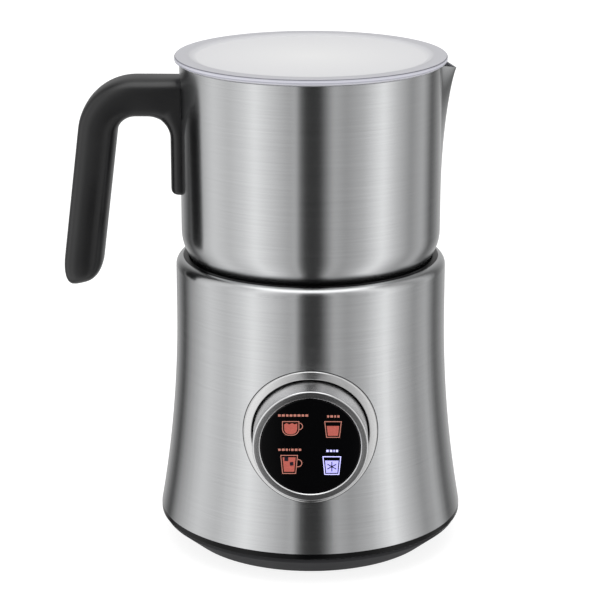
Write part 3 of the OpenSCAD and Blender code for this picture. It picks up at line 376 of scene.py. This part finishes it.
# PBT in its natural colour: a warm off-white with a soft shine
natural_pbt = moulded("natural_pbt", "#D6D3C6", "#E0DDD0", 0.45, 0.0009, 0.00002)
# Pressed mica: pearly tan flakes
mica = moulded("pressed_mica_sheet", "#9C8C66", "#BCAC84", 0.35, 0.002, 0.00004)
# Sintered ferrite: charcoal with a fine grain, like fired clay
ferrite = moulded("sintered_ferrite", "#2B2B2E", "#38383B", 0.6, 0.0005, 0.00004)
# Enamelled copper: a dark orange metal
copper = plated("enamelled_copper_wire", "#A9542C", "#C2703F", 0.3, 0.0007)
# Turned aluminium: pale and bright
raw_aluminium = plated("turned_aluminium", "#C2C4C7", "#D4D6D8", 0.32, 0.0006)
dress(natural_pbt, "coil_former", "sensor_sleeve", "chassis", "magnet_carrier", "whisk_bush")
dress(mica, "mica_disc")
dress(ferrite, "ferrite_bars", "field_magnets", "code_ring")
dress(copper, "induction_coil", "line_choke")
dress(raw_aluminium, "sensor_cap", "heat_sink")


def coil(low, high, wire, turns):
    """A helical spring that fills a box along Z: its wire's middle goes round a circle as it climbs
    evenly, and the wire's round section stays in the plane through the axis."""
    a = np.linspace(0, 2 * pi * turns, turns * 24 + 1)[:, None]
    b = np.linspace(0, 2 * pi, 10, endpoint=False)
    out = (high[0] - low[0]) / 2 - wire + wire * np.cos(b)
    up = low[2] + wire + (high[2] - low[2] - 2 * wire) * a / a[-1] + wire * np.sin(b)
    middle = (low + high) / 2
    return np.stack([middle[0] + out * np.cos(a), middle[1] + out * np.sin(a), up], -1)


# Drawn spring wire: bright, with sharp small highlights
spring_wire = plated("bright_spring_wire", "#B8B8BB", "#CCCCCF", 0.16, 0.0006)
low, high = (np.array(corner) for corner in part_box("sensor_spring"))
sensor_wire, sensor_turns, sensor_travel = 0.00035, 5, 0.002
spring = piece("sensor_coil_spring", [skin(coil(low, high, sensor_wire, sensor_turns))], spring_wire,
               "sensor", ["sensor_spring"], 60)
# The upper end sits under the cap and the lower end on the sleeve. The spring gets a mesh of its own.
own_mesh(spring)


# --- Whisk motor ----------------------------------------------------------------------------------
# A brushed direct-current motor hung on rubber under the chassis turns four magnets below the well.

# Ground steel: a dark mirror
ground_steel = plated("ground_steel", "#A8A9AB", "#BCBDBF", 0.18, 0.0004)
# Punched sheet: dull grey
laminated_steel = plated("stamped_steel_laminations", "#6E7074", "#86888C", 0.4, 0.0005)
# Nickel plate: a warm silver mirror
nickel = plated("nickel_plated_magnet", "#B8B2A4", "#CAC4B6", 0.16, 0.0008)
dress(ground_steel, "motor_shaft", "whisk_post")
dress(laminated_steel, "armature", "induction_disc")
dress(nickel, "drive_magnets", "whisk_magnets")
dress(nylon_black, "motor_end_cap")


# --- Boards and fan -------------------------------------------------------------------------------
# A glass-fibre board with the mains filter, the power switch on its heat sink and the terminals.
# A small axial fan stands beside it over the pan's vents.
weave = 0.0005
# Solder mask over woven glass: green and glossy, with a checker of the cloth's 0.5 mm cells
circuit_board, tree = blank("green_circuit_board")
spot = add(tree, "TexCoord")["Object"]
cells = add(tree, "TexChecker", None, {"Vector": spot, "Scale": 1 / weave,
                                       "Color1": linear("#124A28"), "Color2": linear("#175530")})
shader = add(tree, "BsdfPrincipled", None, {"Base Color": cells["Color"], "Roughness": 0.28,
                                            "Coat Weight": 0.5})
add(tree, "OutputMaterial", None, {"Surface": shader["BSDF"]})
dress(circuit_board, "power_board", "display_board")
# Epoxy boxes, coloured PBT and diode packages: smooth, with a soft shine
capacitor_epoxy = moulded("yellow_film_capacitor", "#C98E1C", "#D69B26", 0.3, 0.001, 0.00001)
terminal_pbt = moulded("green_terminal_pbt", "#2C7A45", "#348650", 0.4, 0.0008, 0.00002)
diode_white = moulded("white_led_package", "#E2DFC8", "#EEEBD6", 0.35, 0.0005, 0.00001)
dress(capacitor_epoxy, "filter_capacitors")
dress(terminal_pbt, "terminal_block")
dress(diode_white, "display_leds")
dress(nylon_black, "power_transistor", "fan_frame", "fan_rotor", "tact_switch", "turn_sensor",
      "dial_housing", "display_carrier")


# --- Trim ring on the skirt -------------------------------------------------------------------------
# A die-cast ring with a satin silver coat. Its back is cut to the skirt's curve, so it follows the
# flare all round the dial's hole, and its face is 3.6 mm wide with round edges.
flare_arc = (flare**2 + waist_up**2) / (2 * flare)
waist_z = edge_z + waist_up


def skirt_radius(z):
    """The skirt's outer radius at a height: the waist's, plus a flare of one large arc below it."""
    below = np.clip(waist_z - z, 0, waist_up)
    return edge_r - flare + flare_arc - np.sqrt(flare_arc**2 - below**2)


trim_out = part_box("dial_trim")[1].x
trim_in = trim_out - 0.00365
# Its height over the steel, its sleeve's depth and wall, and how far its flange clears the steel
trim_up, sink, sleeve_t, clear = 0.0009, 0.004, 0.00115, 0.00005
dial_axis, dial_centre = (0.0, -1.0, 0.0), (0.0, 0.0, dial_z)


def fitted(section):
    """A grid of (out, proud) points carried round the dial's axis, each proud of the skirt's own curve."""
    turn = np.linspace(0, 2 * pi, 256, endpoint=False)[:, None]
    x = section[:, 0] * np.cos(turn)
    z = dial_z + section[:, 0] * np.sin(turn)
    return np.stack([x, -np.sqrt(skirt_radius(z) ** 2 - x**2) - section[:, 1], z], -1)


section = arcs([(trim_in, -sink, 0), (trim_in, trim_up, 0.0004), (trim_out, trim_up, 0.0007),
                (trim_out, clear, 0), (trim_in + sleeve_t, clear, 0), (trim_in + sleeve_t, -sink, 0)], 8)
# Satin nickel coat: pale, with a soft even gloss and a trace of the polishing wheel's rings
satin_nickel = brushed("satin_nickel_coat", "#D2D2D2", "#DCDCDC", 0.24, dial_axis, dial_centre, 0.0004)
piece("dial_trim_ring", [skin(fitted(section), ring=True)], satin_nickel, "base",
      ["dial_trim"])
# The edge of its foam seal shows as a dark line on the steel
seal = np.array([(trim_out - 0.0004, -0.0003), (trim_out - 0.0004, 0.0001), (trim_out + 0.00015, 0.0001),
                 (trim_out + 0.00028, 0.00002), (trim_out + 0.00028, -0.0003)])
piece("dial_trim_seal", [skin(fitted(seal), ring=True)], soft_rubber, "base")


# --- Dial ring ----------------------------------------------------------------------------------------
# Turned aluminium with a flat face, a fillet to the barrel and a fine lip round the display.
# It turns without end on the housing's tube, and its face shows the lathe's rings.
ring_low, ring_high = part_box("dial_ring")
ring_r, ring_bore, ring_face, ring_back = ring_high.x, 0.022, -ring_low.y, -ring_high.y
chamfer = 0.0004
section = arcs([
    (ring_bore, ring_back, 0), (ring_r, ring_back, 0.0003), (ring_r, ring_face, 0.0008),
    (ring_bore + chamfer, ring_face, 0.00015), (ring_bore, ring_face - chamfer, 0.00015),
    (ring_bore, ring_back, 0),
], 8)[:-1]
# Turned and anodised aluminium: bright, with 0.3 mm rings that spread highlights along the barrel
turned_aluminium = brushed("turned_anodised_aluminium", "#DADADB", "#E4E4E5", 0.2, dial_axis, dial_centre,
                           0.0003)
piece("dial_turned_ring", [skin(spun(stepped(section, 0.002), True), ring=True)], turned_aluminium,
      "dial", ["dial_ring"], 30)


# --- Display --------------------------------------------------------------------------------------------
# A black hard-coated acrylic window that presses in as the start button. Four drinks are signed on its
# back and lit from behind: a cup, a glass, a mug with ice cubes, and a cold glass, each over a caption.
glass_low, glass_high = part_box("display_glass")
glass_r, glass_face, glass_back = glass_high.x, -glass_low.y, -glass_high.y
# A lathe line that should reach the axis stops just short of it, and a fan closes the rest
glass_hub = 0.002
# Acrylic with a hard coat, printed black behind: a black mirror
window_black = moulded("hard_coated_black_acrylic", "#020203", "#030304", 0.05, 0.006, 0.000005,
                       {"Specular IOR Level": 0.35})
section = arcs([(glass_hub, glass_back, 0), (glass_r, glass_back, 0.0002), (glass_r, glass_face, 0.0003),
                (glass_hub, glass_face, 0)])
piece("display_window", [skin(spun(section, True))], window_black, "display",
      ["display_glass"], 30)
# Clear acrylic: half see-through, with a wet shine
guide_acrylic = moulded("clear_acrylic_light_guide", "#C9CED4", "#D6DBE0", 0.1, 0.002, 0.00001,
                        {"Transmission Weight": 0.6, "IOR": 1.49})
dress(guide_acrylic, "light_guides")

# The return spring behind the window lies along Y, so it is wound upright and tipped back
low, high = (np.array(corner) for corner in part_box("display_spring"))
swap = [0, 2, 1]
display_wire, display_turns, display_travel = 0.0003, 3, 0.001
grid = coil(low[swap], high[swap], display_wire, display_turns)[..., swap]
spring = piece("display_coil_spring", [skin(grid)], spring_wire, "display",
               ["display_spring"], 60)
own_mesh(spring)

# The print's height on the window, and the width of its outlines in mm
sign_up, outline = 0.00006, 0.34


def bar(path, width, closed=False):
    """A flat printed line along (across, up) points in mm round the disc's middle. Each point is set
    off to both sides along the mean of its two sides' normals."""
    line = np.array(path, float) / 1000
    ahead, back = np.roll(line, -1, 0) - line, line - np.roll(line, 1, 0)
    if not closed:
        ahead[-1], back[0] = back[-1], ahead[0]
    ahead, back = (v / np.linalg.norm(v, axis=1)[:, None] for v in (ahead, back))
    mean = ahead + back
    mean /= np.linalg.norm(mean, axis=1)[:, None]
    off = np.stack([-mean[:, 1], mean[:, 0]], -1) * width / 2000 / (mean * ahead).sum(1)[:, None]
    sides = np.stack([line - off, line + off, line + off, line - off], 1)
    lift = np.broadcast_to(glass_face + sign_up * np.array([0, 0, 1, 1]), sides.shape[:2])
    return skin(np.stack([sides[..., 0], -lift, sides[..., 1] + dial_z], -1), ring=closed)


def patch(path):
    """A flat printed shape inside (across, up) points in mm round the disc's middle."""
    line = np.array(path, float) / 1000
    lift = glass_face + sign_up * np.array([[0.0], [1.0]]) * np.ones(len(line))
    across, up = (np.broadcast_to(side, lift.shape) for side in (line[:, 0], line[:, 1] + dial_z))
    return skin(np.stack([across, -lift, up], -1))


def arc(across, up, radius, start, end, steps=10):
    """Points on a circle round (across, up) from one angle to another in degrees."""
    a = np.radians(np.linspace(start, end, steps + 1))
    return list(zip(across + radius * np.cos(a), up + radius * np.sin(a)))


def caption(across, up, lengths):
    """A caption's stand-in: a level row of bars 1 mm tall, each as long as given, 0.5 mm apart."""
    gap = 0.5
    steps = np.cumsum([0] + [n + gap for n in lengths])
    starts = across - (steps[-1] - gap) / 2 + steps[:-1]
    return [bar([(s, up), (s + n, up)], 1.0) for s, n in zip(starts, lengths)]


def lit_print(name, dark, light, power):
    """Translucent ink lit from behind: its own colour shines, in faint 0.4 mm blotches."""
    made, tree = blank(name)
    spot = add(tree, "TexCoord")["Object"]
    blotch = add(tree, "TexNoise", None, {"Vector": spot, "Scale": 1 / 0.0004, "Detail": 1.0})["Fac"]
    tone = add(tree, "ValToRGB", {"stops": [(0.3, dark), (0.7, light)]}, {"Fac": blotch})["Color"]
    shader = add(tree, "BsdfPrincipled", None, {"Base Color": tone, "Roughness": 0.4,
                                                "Emission Color": tone, "Emission Strength": power})
    add(tree, "OutputMaterial", None, {"Surface": shader["BSDF"]})
    return made


# Salmon for hot drinks and lavender for the cold one, each with a paler outline
red_fill = lit_print("lit_salmon_ink", "#A04A40", "#B4584C", 0.32)
red_line = lit_print("lit_pale_salmon_ink", "#A8685C", "#B87868", 0.3)
blue_fill = lit_print("lit_lavender_ink", "#A09DEE", "#B0ADF8", 0.62)
blue_line = lit_print("lit_pale_lavender_ink", "#B4B2F4", "#C6C4FF", 0.75)

# A cup with a round bowl and an ear
cup = [(-12.1, 11.6), (-5.0, 11.6), (-5.0, 8.6)] + arc(-7.9, 8.2, 2.9, 0, -80)
cup += arc(-9.2, 8.2, 2.9, -100, -180) + [(-12.1, 8.6)]
cup_lines = [bar(cup, outline, True), bar([(-5.0, 10.9)] + arc(-4.9, 9.4, 1.5, 80, -90), outline)]
foam = [(-11.4, 10.3), (-10.3, 10.9), (-9.2, 10.3), (-8.0, 10.9), (-6.8, 10.3), (-5.7, 10.8), (-5.7, 8.4)]
cup_fill = [patch(foam + arc(-8.0, 8.0, 2.2, -5, -85, 6) + arc(-9.1, 8.0, 2.2, -95, -175, 6))]
# A tall glass, wider at its rim
glass = [(6.2, 11.6), (13.4, 11.6), (12.6, 4.4), (7.0, 4.4)]
glass_lines = [bar(glass, outline, True)]
glass_fill = [patch([(7.1, 9.6), (12.5, 9.6), (12.0, 5.1), (7.6, 5.1)])]
# A mug with two cubes
mug = [(-12.9, -4.0), (-5.6, -4.0), (-6.4, -12.4), (-12.1, -12.4)]
mug_handle = [(-5.8, -5.9)] + arc(-5.4, -7.6, 1.7, 85, -85) + [(-6.0, -9.3)]
mug_lines = [bar(mug, outline, True), bar(mug_handle, outline)]
mug_fill = [patch([(-12.1, -4.9), (-6.4, -4.9), (-7.0, -11.6), (-11.5, -11.6)])]
cubes = [patch([(-11.3, -4.8), (-9.6, -4.8), (-9.6, -6.6), (-11.3, -6.6)]),
         patch([(-9.0, -7.2), (-7.5, -7.0), (-7.3, -8.6), (-8.8, -8.8)])]
# A glass with a six-armed frost star, whose arms reach 2.2 mm from its middle
cold = [(5.5, -4.6), (13.2, -4.6), (12.4, -12.8), (6.3, -12.8)]
cold_lines = [bar(cold, 0.4, True)]
cold_fill = [patch([(6.4, -6.4), (12.3, -6.4), (11.8, -12.1), (6.9, -12.1)])]
star = [bar([(9.35 - 2.2 * cos(a), -9.2 - 2.2 * sin(a)), (9.35 + 2.2 * cos(a), -9.2 + 2.2 * sin(a))], 0.4)
        for a in (pi / 2, pi / 6, -pi / 6)]
# The star and the cubes are printed over the fills
for points, *_ in star + cubes:
    points[:, 1] -= sign_up

captions = caption(-7.5, 14.4, [1.1, 1.3, 1.1, 1.2, 1.2, 1.3, 1.1, 1.2])
captions += caption(9.9, 14.0, [0.9, 1.2, 0.8, 1.0])
captions += caption(-9.0, -1.4, [1.1, 1.2, 0.9, 0.4, 1.1, 1.2, 1.1])
cold_caption = caption(9.5, -1.9, [1.0, 1.1, 0.5, 1.0])
dark_ink = lit_print("dark_violet_ink", "#100818", "#160C20", 0.02)
piece("sign_outlines", cup_lines + glass_lines + mug_lines + captions, red_line, "display")
piece("sign_fills", cup_fill + glass_fill + mug_fill, red_fill, "display")
piece("cold_sign_fill", cold_fill, blue_fill, "display")
piece("sign_cutouts", star + cubes, dark_ink, "display")
piece("cold_sign_lines", cold_lines + cold_caption, blue_line, "display")


# --- Jug ---------------------------------------------------------------------------------------------
# One drawing of 0.8 mm stainless: flat floor, round corner, straight wall, and a lip pulled out of the
# wall at the right. A magnetic disc is brazed into the recess below the floor.
jug_low, jug_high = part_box("jug_body")
jug_r, jug_z, rim_z = -jug_low.x, jug_low.z, jug_high.z
corner, wall, floor_t, hub = 0.020, 0.0008, 0.0020, 0.004
disc_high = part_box("induction_disc")[1]
disc_r, disc_t = disc_high.x, disc_high.z - jug_z
# Softening takes 0.6 mm off the lip's ridge, so its reach has that much added
ridge, rim_round = 0.0005, wall * 0.48
lip_reach, lip_half, lip_from, lip_dip = jug_high.x - jug_r + 0.0006, 0.012, jug_z + 0.028, 0.003
line = arcs([
    (hub, jug_z + disc_t, 0), (disc_r, jug_z + disc_t, 0), (disc_r, jug_z, 0), (jug_r, jug_z, corner),
    (jug_r, rim_z, rim_round), (jug_r - wall, rim_z, rim_round),
    (jug_r - wall, jug_z + floor_t, corner - wall), (hub, jug_z + floor_t, 0),
], 16)
line = stepped(line, 0.0016)
# Columns crowd round the lip: the turn runs at under half speed there and faster behind
turn = np.linspace(0, 2 * pi, 360, endpoint=False)
turn = turn - 0.6 * np.sin(turn)
x, y = line[:, :1] * np.cos(turn), line[:, :1] * np.sin(turn)
z = np.repeat(line[:, 1:], len(turn), 1)
# The lip swells with height to the power 2.4, with a V across it whose ridge and flanks are soft
height = np.clip((z - lip_from) / (rim_z - lip_from), 0, 1)
across = np.hypot(y, ridge) / (lip_half * (0.35 + 0.65 * height))
vee = np.where(x > 0, np.clip(1 - across, 0, 1) ** 1.15, 0)
x = x + lip_reach * height**2.4 * vee
z = z - lip_dip * height**12 * vee
piece("jug_shell", [skin(np.stack([x, y, z], -1))], skirt_steel, "jug", ["jug_body"], 50)


# --- Handle --------------------------------------------------------------------------------------------
# One satin black moulding: a strip screwed to a saddle on the jug's wall, a fillet, a level arm,
# an elbow and a leaning grip with a slanted round end.
strip_t, strip_z, fillet_r = 0.0043, jug_z + 0.037, 0.010
grip_t, grip_half, strip_half = 0.0176, 0.013, 0.011
arm_z, elbow_x, elbow_r = jug_z + 0.0812, -jug_r - 0.0196, 0.0176
lean, grip_len, end_len, slant = radians(7.3), 0.0598, 0.0122, radians(20)
# How the strip's foot rounds off: inwards, upwards and at each side
toe_in, toe_up, toe_side, inside = 0.0018, 0.0025, 0.003, 0.005
# Each station has a point on the finger side, one on the far side, and a half width.
# The stations go up the strip, round the fillet, round the elbow and down the grip.
turn = np.linspace(pi / 2, 0, 6)
toe = 1 - np.cos(turn)
near = [np.stack([-jug_r - strip_t + toe_in * toe, strip_z + toe_up * (1 - np.sin(turn))], -1)]
far = [np.stack([np.full(6, inside - jug_r), near[0][:, 1]], -1)]
half = [strip_half - toe_side * toe]
bend = np.array([-jug_r - strip_t - fillet_r, arm_z - grip_t / 2 - fillet_r])
up = np.linspace(strip_z + 0.005, bend[1] - 0.001, 10)
near.append(np.stack([np.full(10, -jug_r - strip_t), up], -1))
far.append(np.stack([np.full(10, inside - jug_r), up], -1))
half.append(np.full(10, strip_half))
turn = np.radians(np.linspace(0, 90, 28))
way = np.stack([np.cos(turn), np.sin(turn)], -1)
reach = np.minimum((strip_t + fillet_r + inside) / np.maximum(way[:, 0], 1e-6),
                   (fillet_r + grip_t) / np.maximum(way[:, 1], 1e-6))
near.append(bend + fillet_r * way)
far.append(bend + reach[:, None] * way)
half.append(strip_half + (grip_half - strip_half) * np.sin(turn) ** 2)
turn = np.linspace(pi / 2, pi - lean, 30)
way = np.stack([np.cos(turn), np.sin(turn)], -1)
elbow = np.array([elbow_x, arm_z - elbow_r])
near.append(elbow + (elbow_r - grip_t / 2) * way)
far.append(elbow + (elbow_r + grip_t / 2) * way)
half.append(np.full(30, grip_half))
down = np.array([-np.sin(lean), -np.cos(lean)])
along = np.linspace(0.003, grip_len, 24)[:, None] * down
near.append(near[-1][-1] + along)
far.append(far[-1][-1] + along)
half.append(np.full(24, grip_half))
near, far, half = np.vstack(near), np.vstack(far), np.concatenate(half)
middle, spread, lean_on = (near + far) / 2, (far - near) / 2, np.zeros(len(half))
# The end: rings go on down by a quarter sine as they shrink by a quarter cosine, and tilt to the slant
# Each ring is a soft oblong: a circle whose cosine and sine are raised to a power under 1.
softness = 0.62
turn = np.linspace(0, pi / 2, 13)[1:]
size = np.maximum(np.cos(turn), 0.02) ** softness
middle = np.vstack([middle, middle[-1] + end_len * np.sin(turn)[:, None] * down])
spread = np.vstack([spread, spread[-1] * size[:, None]])
half = np.append(half, grip_half * size)
lean_on = np.append(lean_on, tan(slant) * np.sin(turn))
turn = np.linspace(0, 2 * pi, 48, endpoint=False)
u = np.sign(np.cos(turn)) * np.abs(np.cos(turn)) ** softness
v = np.sign(np.sin(turn)) * np.abs(np.sin(turn)) ** softness
place = middle[:, None] + u[None, :, None] * spread[:, None]
place = place + (lean_on * np.linalg.norm(spread, axis=1))[:, None, None] * u[None, :, None] * down
y = half[:, None] * v
# What would be inside the jug lies a hair off its wall instead
hair = 0.00003
x = np.minimum(place[..., 0], -np.sqrt((jug_r + hair) ** 2 - y**2))
# Satin ABS: near-black, with 0.5 mm spark grain that spreads reflections into soft stripes
satin_black = moulded("satin_black_abs", "#141415", "#19191A", 0.34, 0.0005, 0.000015)
piece("handle_moulding", [skin(np.stack([x, y, place[..., 1]], -1))], satin_black, "jug",
      ["handle_grip"], 60)
dress(satin_black, "whisk_frame")


# --- Lid -----------------------------------------------------------------------------------------------
# A loose polypropylene lid: frosted in its shallow dish, polished on its edge band, with a collar
# that drops inside the rim and a silicone ring in the collar's groove.
lid_low, lid_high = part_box("lid_plate")
lid_r, lid_top, lid_bottom = lid_high.x, lid_high.z, lid_low.z
plate_z, dish, band = lid_top - 0.003, 0.001, 0.0069
collar_r, collar_t, groove_t, undercut = jug_r - wall - 0.001, 0.0026, 0.0012, 0.0016
groove_low, groove_high = (corner.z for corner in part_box("lid_gasket"))
dish_r = lid_r - band
collar_in, groove_r = collar_r - collar_t, collar_r - groove_t
# From the underside's middle out over the collar and its groove, round the edge and into the dish
section = arcs([
    (hub, plate_z, 0), (collar_in, plate_z, 0.0004), (collar_in, lid_bottom, 0.0008),
    (collar_r, lid_bottom, 0.0008), (collar_r, groove_low, 0.0002), (groove_r, groove_low, 0),
    (groove_r, groove_high, 0), (collar_r, groove_high, 0.0002), (collar_r, plate_z, 0.0003),
    (lid_r - undercut, plate_z, 0.0003), (lid_r, lid_top - 0.002, 0.0004), (lid_r, lid_top, 0.0008),
    (dish_r + 0.0005, lid_top, 0.0012), (dish_r - 0.0022, lid_top - dish, 0.002), (hub, lid_top - dish, 0),
], 8)


def frosted(name):
    """Frosted polypropylene that is polished past the dish, with painted shade on its face and painted
    reflection lines on its edge: distance from the axis picks colour and gloss.
    """
    made, tree = blank(name)
    spot = add(tree, "TexCoord")["Object"]
    flat = add(tree, "VectorMath", {"operation": "MULTIPLY"}, {0: spot, 1: (1.0, 1.0, 0.0)})["Vector"]
    out = add(tree, "VectorMath", {"operation": "LENGTH"}, {0: flat})["Value"]
    share = add(tree, "MapRange", None, {"Value": out, "From Max": lid_r})["Result"]
    # Painted shade: the face greys from its white middle to a darker ring at the dish's step. The edge band's
    # grey is partly the clear edge's own lavender tint and partly painted shade.
    tones_with_painted_shade = [(0, "#F0F0F0"), (dish_r - 0.003, "#E4E4E6"), (dish_r, "#D2D2D6"), (dish_r + 0.001, "#C6C6CB"),
             (lid_r, "#C8C8CE")]
    face_with_painted_shade = add(tree, "ValToRGB", {"stops": [(r / lid_r, tone) for r, tone in tones_with_painted_shade]}, {"Fac": share})
    # Painted reflection: the polished edge bends light, so its side is painted with level lines of the dark
    # rim below, and with dark painted shadow lines at its top and foot.
    up = add(tree, "SeparateXYZ", None, {0: spot})["Z"]
    climb = add(tree, "MapRange", None, {"Value": up, "From Min": plate_z, "From Max": lid_top})["Result"]
    painted_rim_lines = [(0.0, "#74747E"), (0.28, "#D2D2DC"), (0.42, "#A4A4B0"), (0.55, "#D8D8E2"), (0.78, "#CECED8"),
             (0.9, "#54545E"), (1.0, "#C8C8CE")]
    side = add(tree, "ValToRGB", {"stops": painted_rim_lines}, {"Fac": climb})
    past = add(tree, "MapRange", None, {"Value": out, "From Min": lid_r - 0.0006, "From Max": lid_r - 0.0003})
    # Near the edge the side's painted reflection lines take over from the face's painted shade
    tone = add(tree, "Mix", {"data_type": "RGBA"}, {0: past["Result"], 6: face_with_painted_shade["Color"], 7: side["Color"]})[2]
    rough = add(tree, "MapRange", None, {"Value": out, "From Min": dish_r - 0.002, "From Max": dish_r,
                                         "To Min": 0.5, "To Max": 0.3})["Result"]
    frost = add(tree, "TexNoise", None, {"Vector": spot, "Scale": 1 / 0.0006, "Detail": 2.0})["Fac"]
    bump = add(tree, "Bump", None, {"Height": frost, "Strength": 0.3, "Distance": 0.00002})["Normal"]
    shader = add(tree, "BsdfPrincipled", None, {"Base Color": tone, "Roughness": rough, "Normal": bump,
                                                "IOR": 1.49})
    add(tree, "OutputMaterial", None, {"Surface": shader["BSDF"]})
    return made


milky_lid = frosted("frosted_polypropylene_painted_shade")
piece("lid_moulding", [skin(spun(stepped(section, 0.003), columns=256))], milky_lid, "lid",
      ["lid_plate"], 30)
# Clear silicone: cloudy and faintly see-through
clear_silicone = moulded("clear_silicone", "#B6B8BE", "#C4C6CC", 0.35, 0.001, 0.00001,
                         {"Transmission Weight": 0.3, "IOR": 1.41})
dress(clear_silicone, "lid_gasket")


# --- Whisk ---------------------------------------------------------------------------------------------
# A magnetic puck on a post: a moulded frame with four magnets and a finger knob, edged with a ring of
# spring wire that froths the milk.
coil_low, coil_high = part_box("whisk_coil")
coil_z, wire_r = (coil_low.z + coil_high.z) / 2, 0.00045
loop_r = (coil_high.z - coil_low.z) / 2 - wire_r
ring_of = coil_high.x - loop_r - wire_r
turns, steps, sides = 36, 20, 8
a = np.linspace(0, 2 * pi, turns * steps, endpoint=False)[:, None]
b = a * turns
c = np.linspace(0, 2 * pi, sides, endpoint=False)
# The wire winds 36 times round a tube while the tube goes once round the ring. Its round section
# spans the way out from the tube and the way along the ring.
r = loop_r + wire_r * np.cos(c)
out, side = ring_of + r * np.cos(b), wire_r * np.sin(c)
x, y = out * np.cos(a) - side * np.sin(a), out * np.sin(a) + side * np.cos(a)
loops = np.stack([x, y, coil_z + r * np.sin(b)], -1)
piece("whisk_wire_ring", [skin(loops, ring=True)], spring_wire, "whisk", ["whisk_coil"], 60)
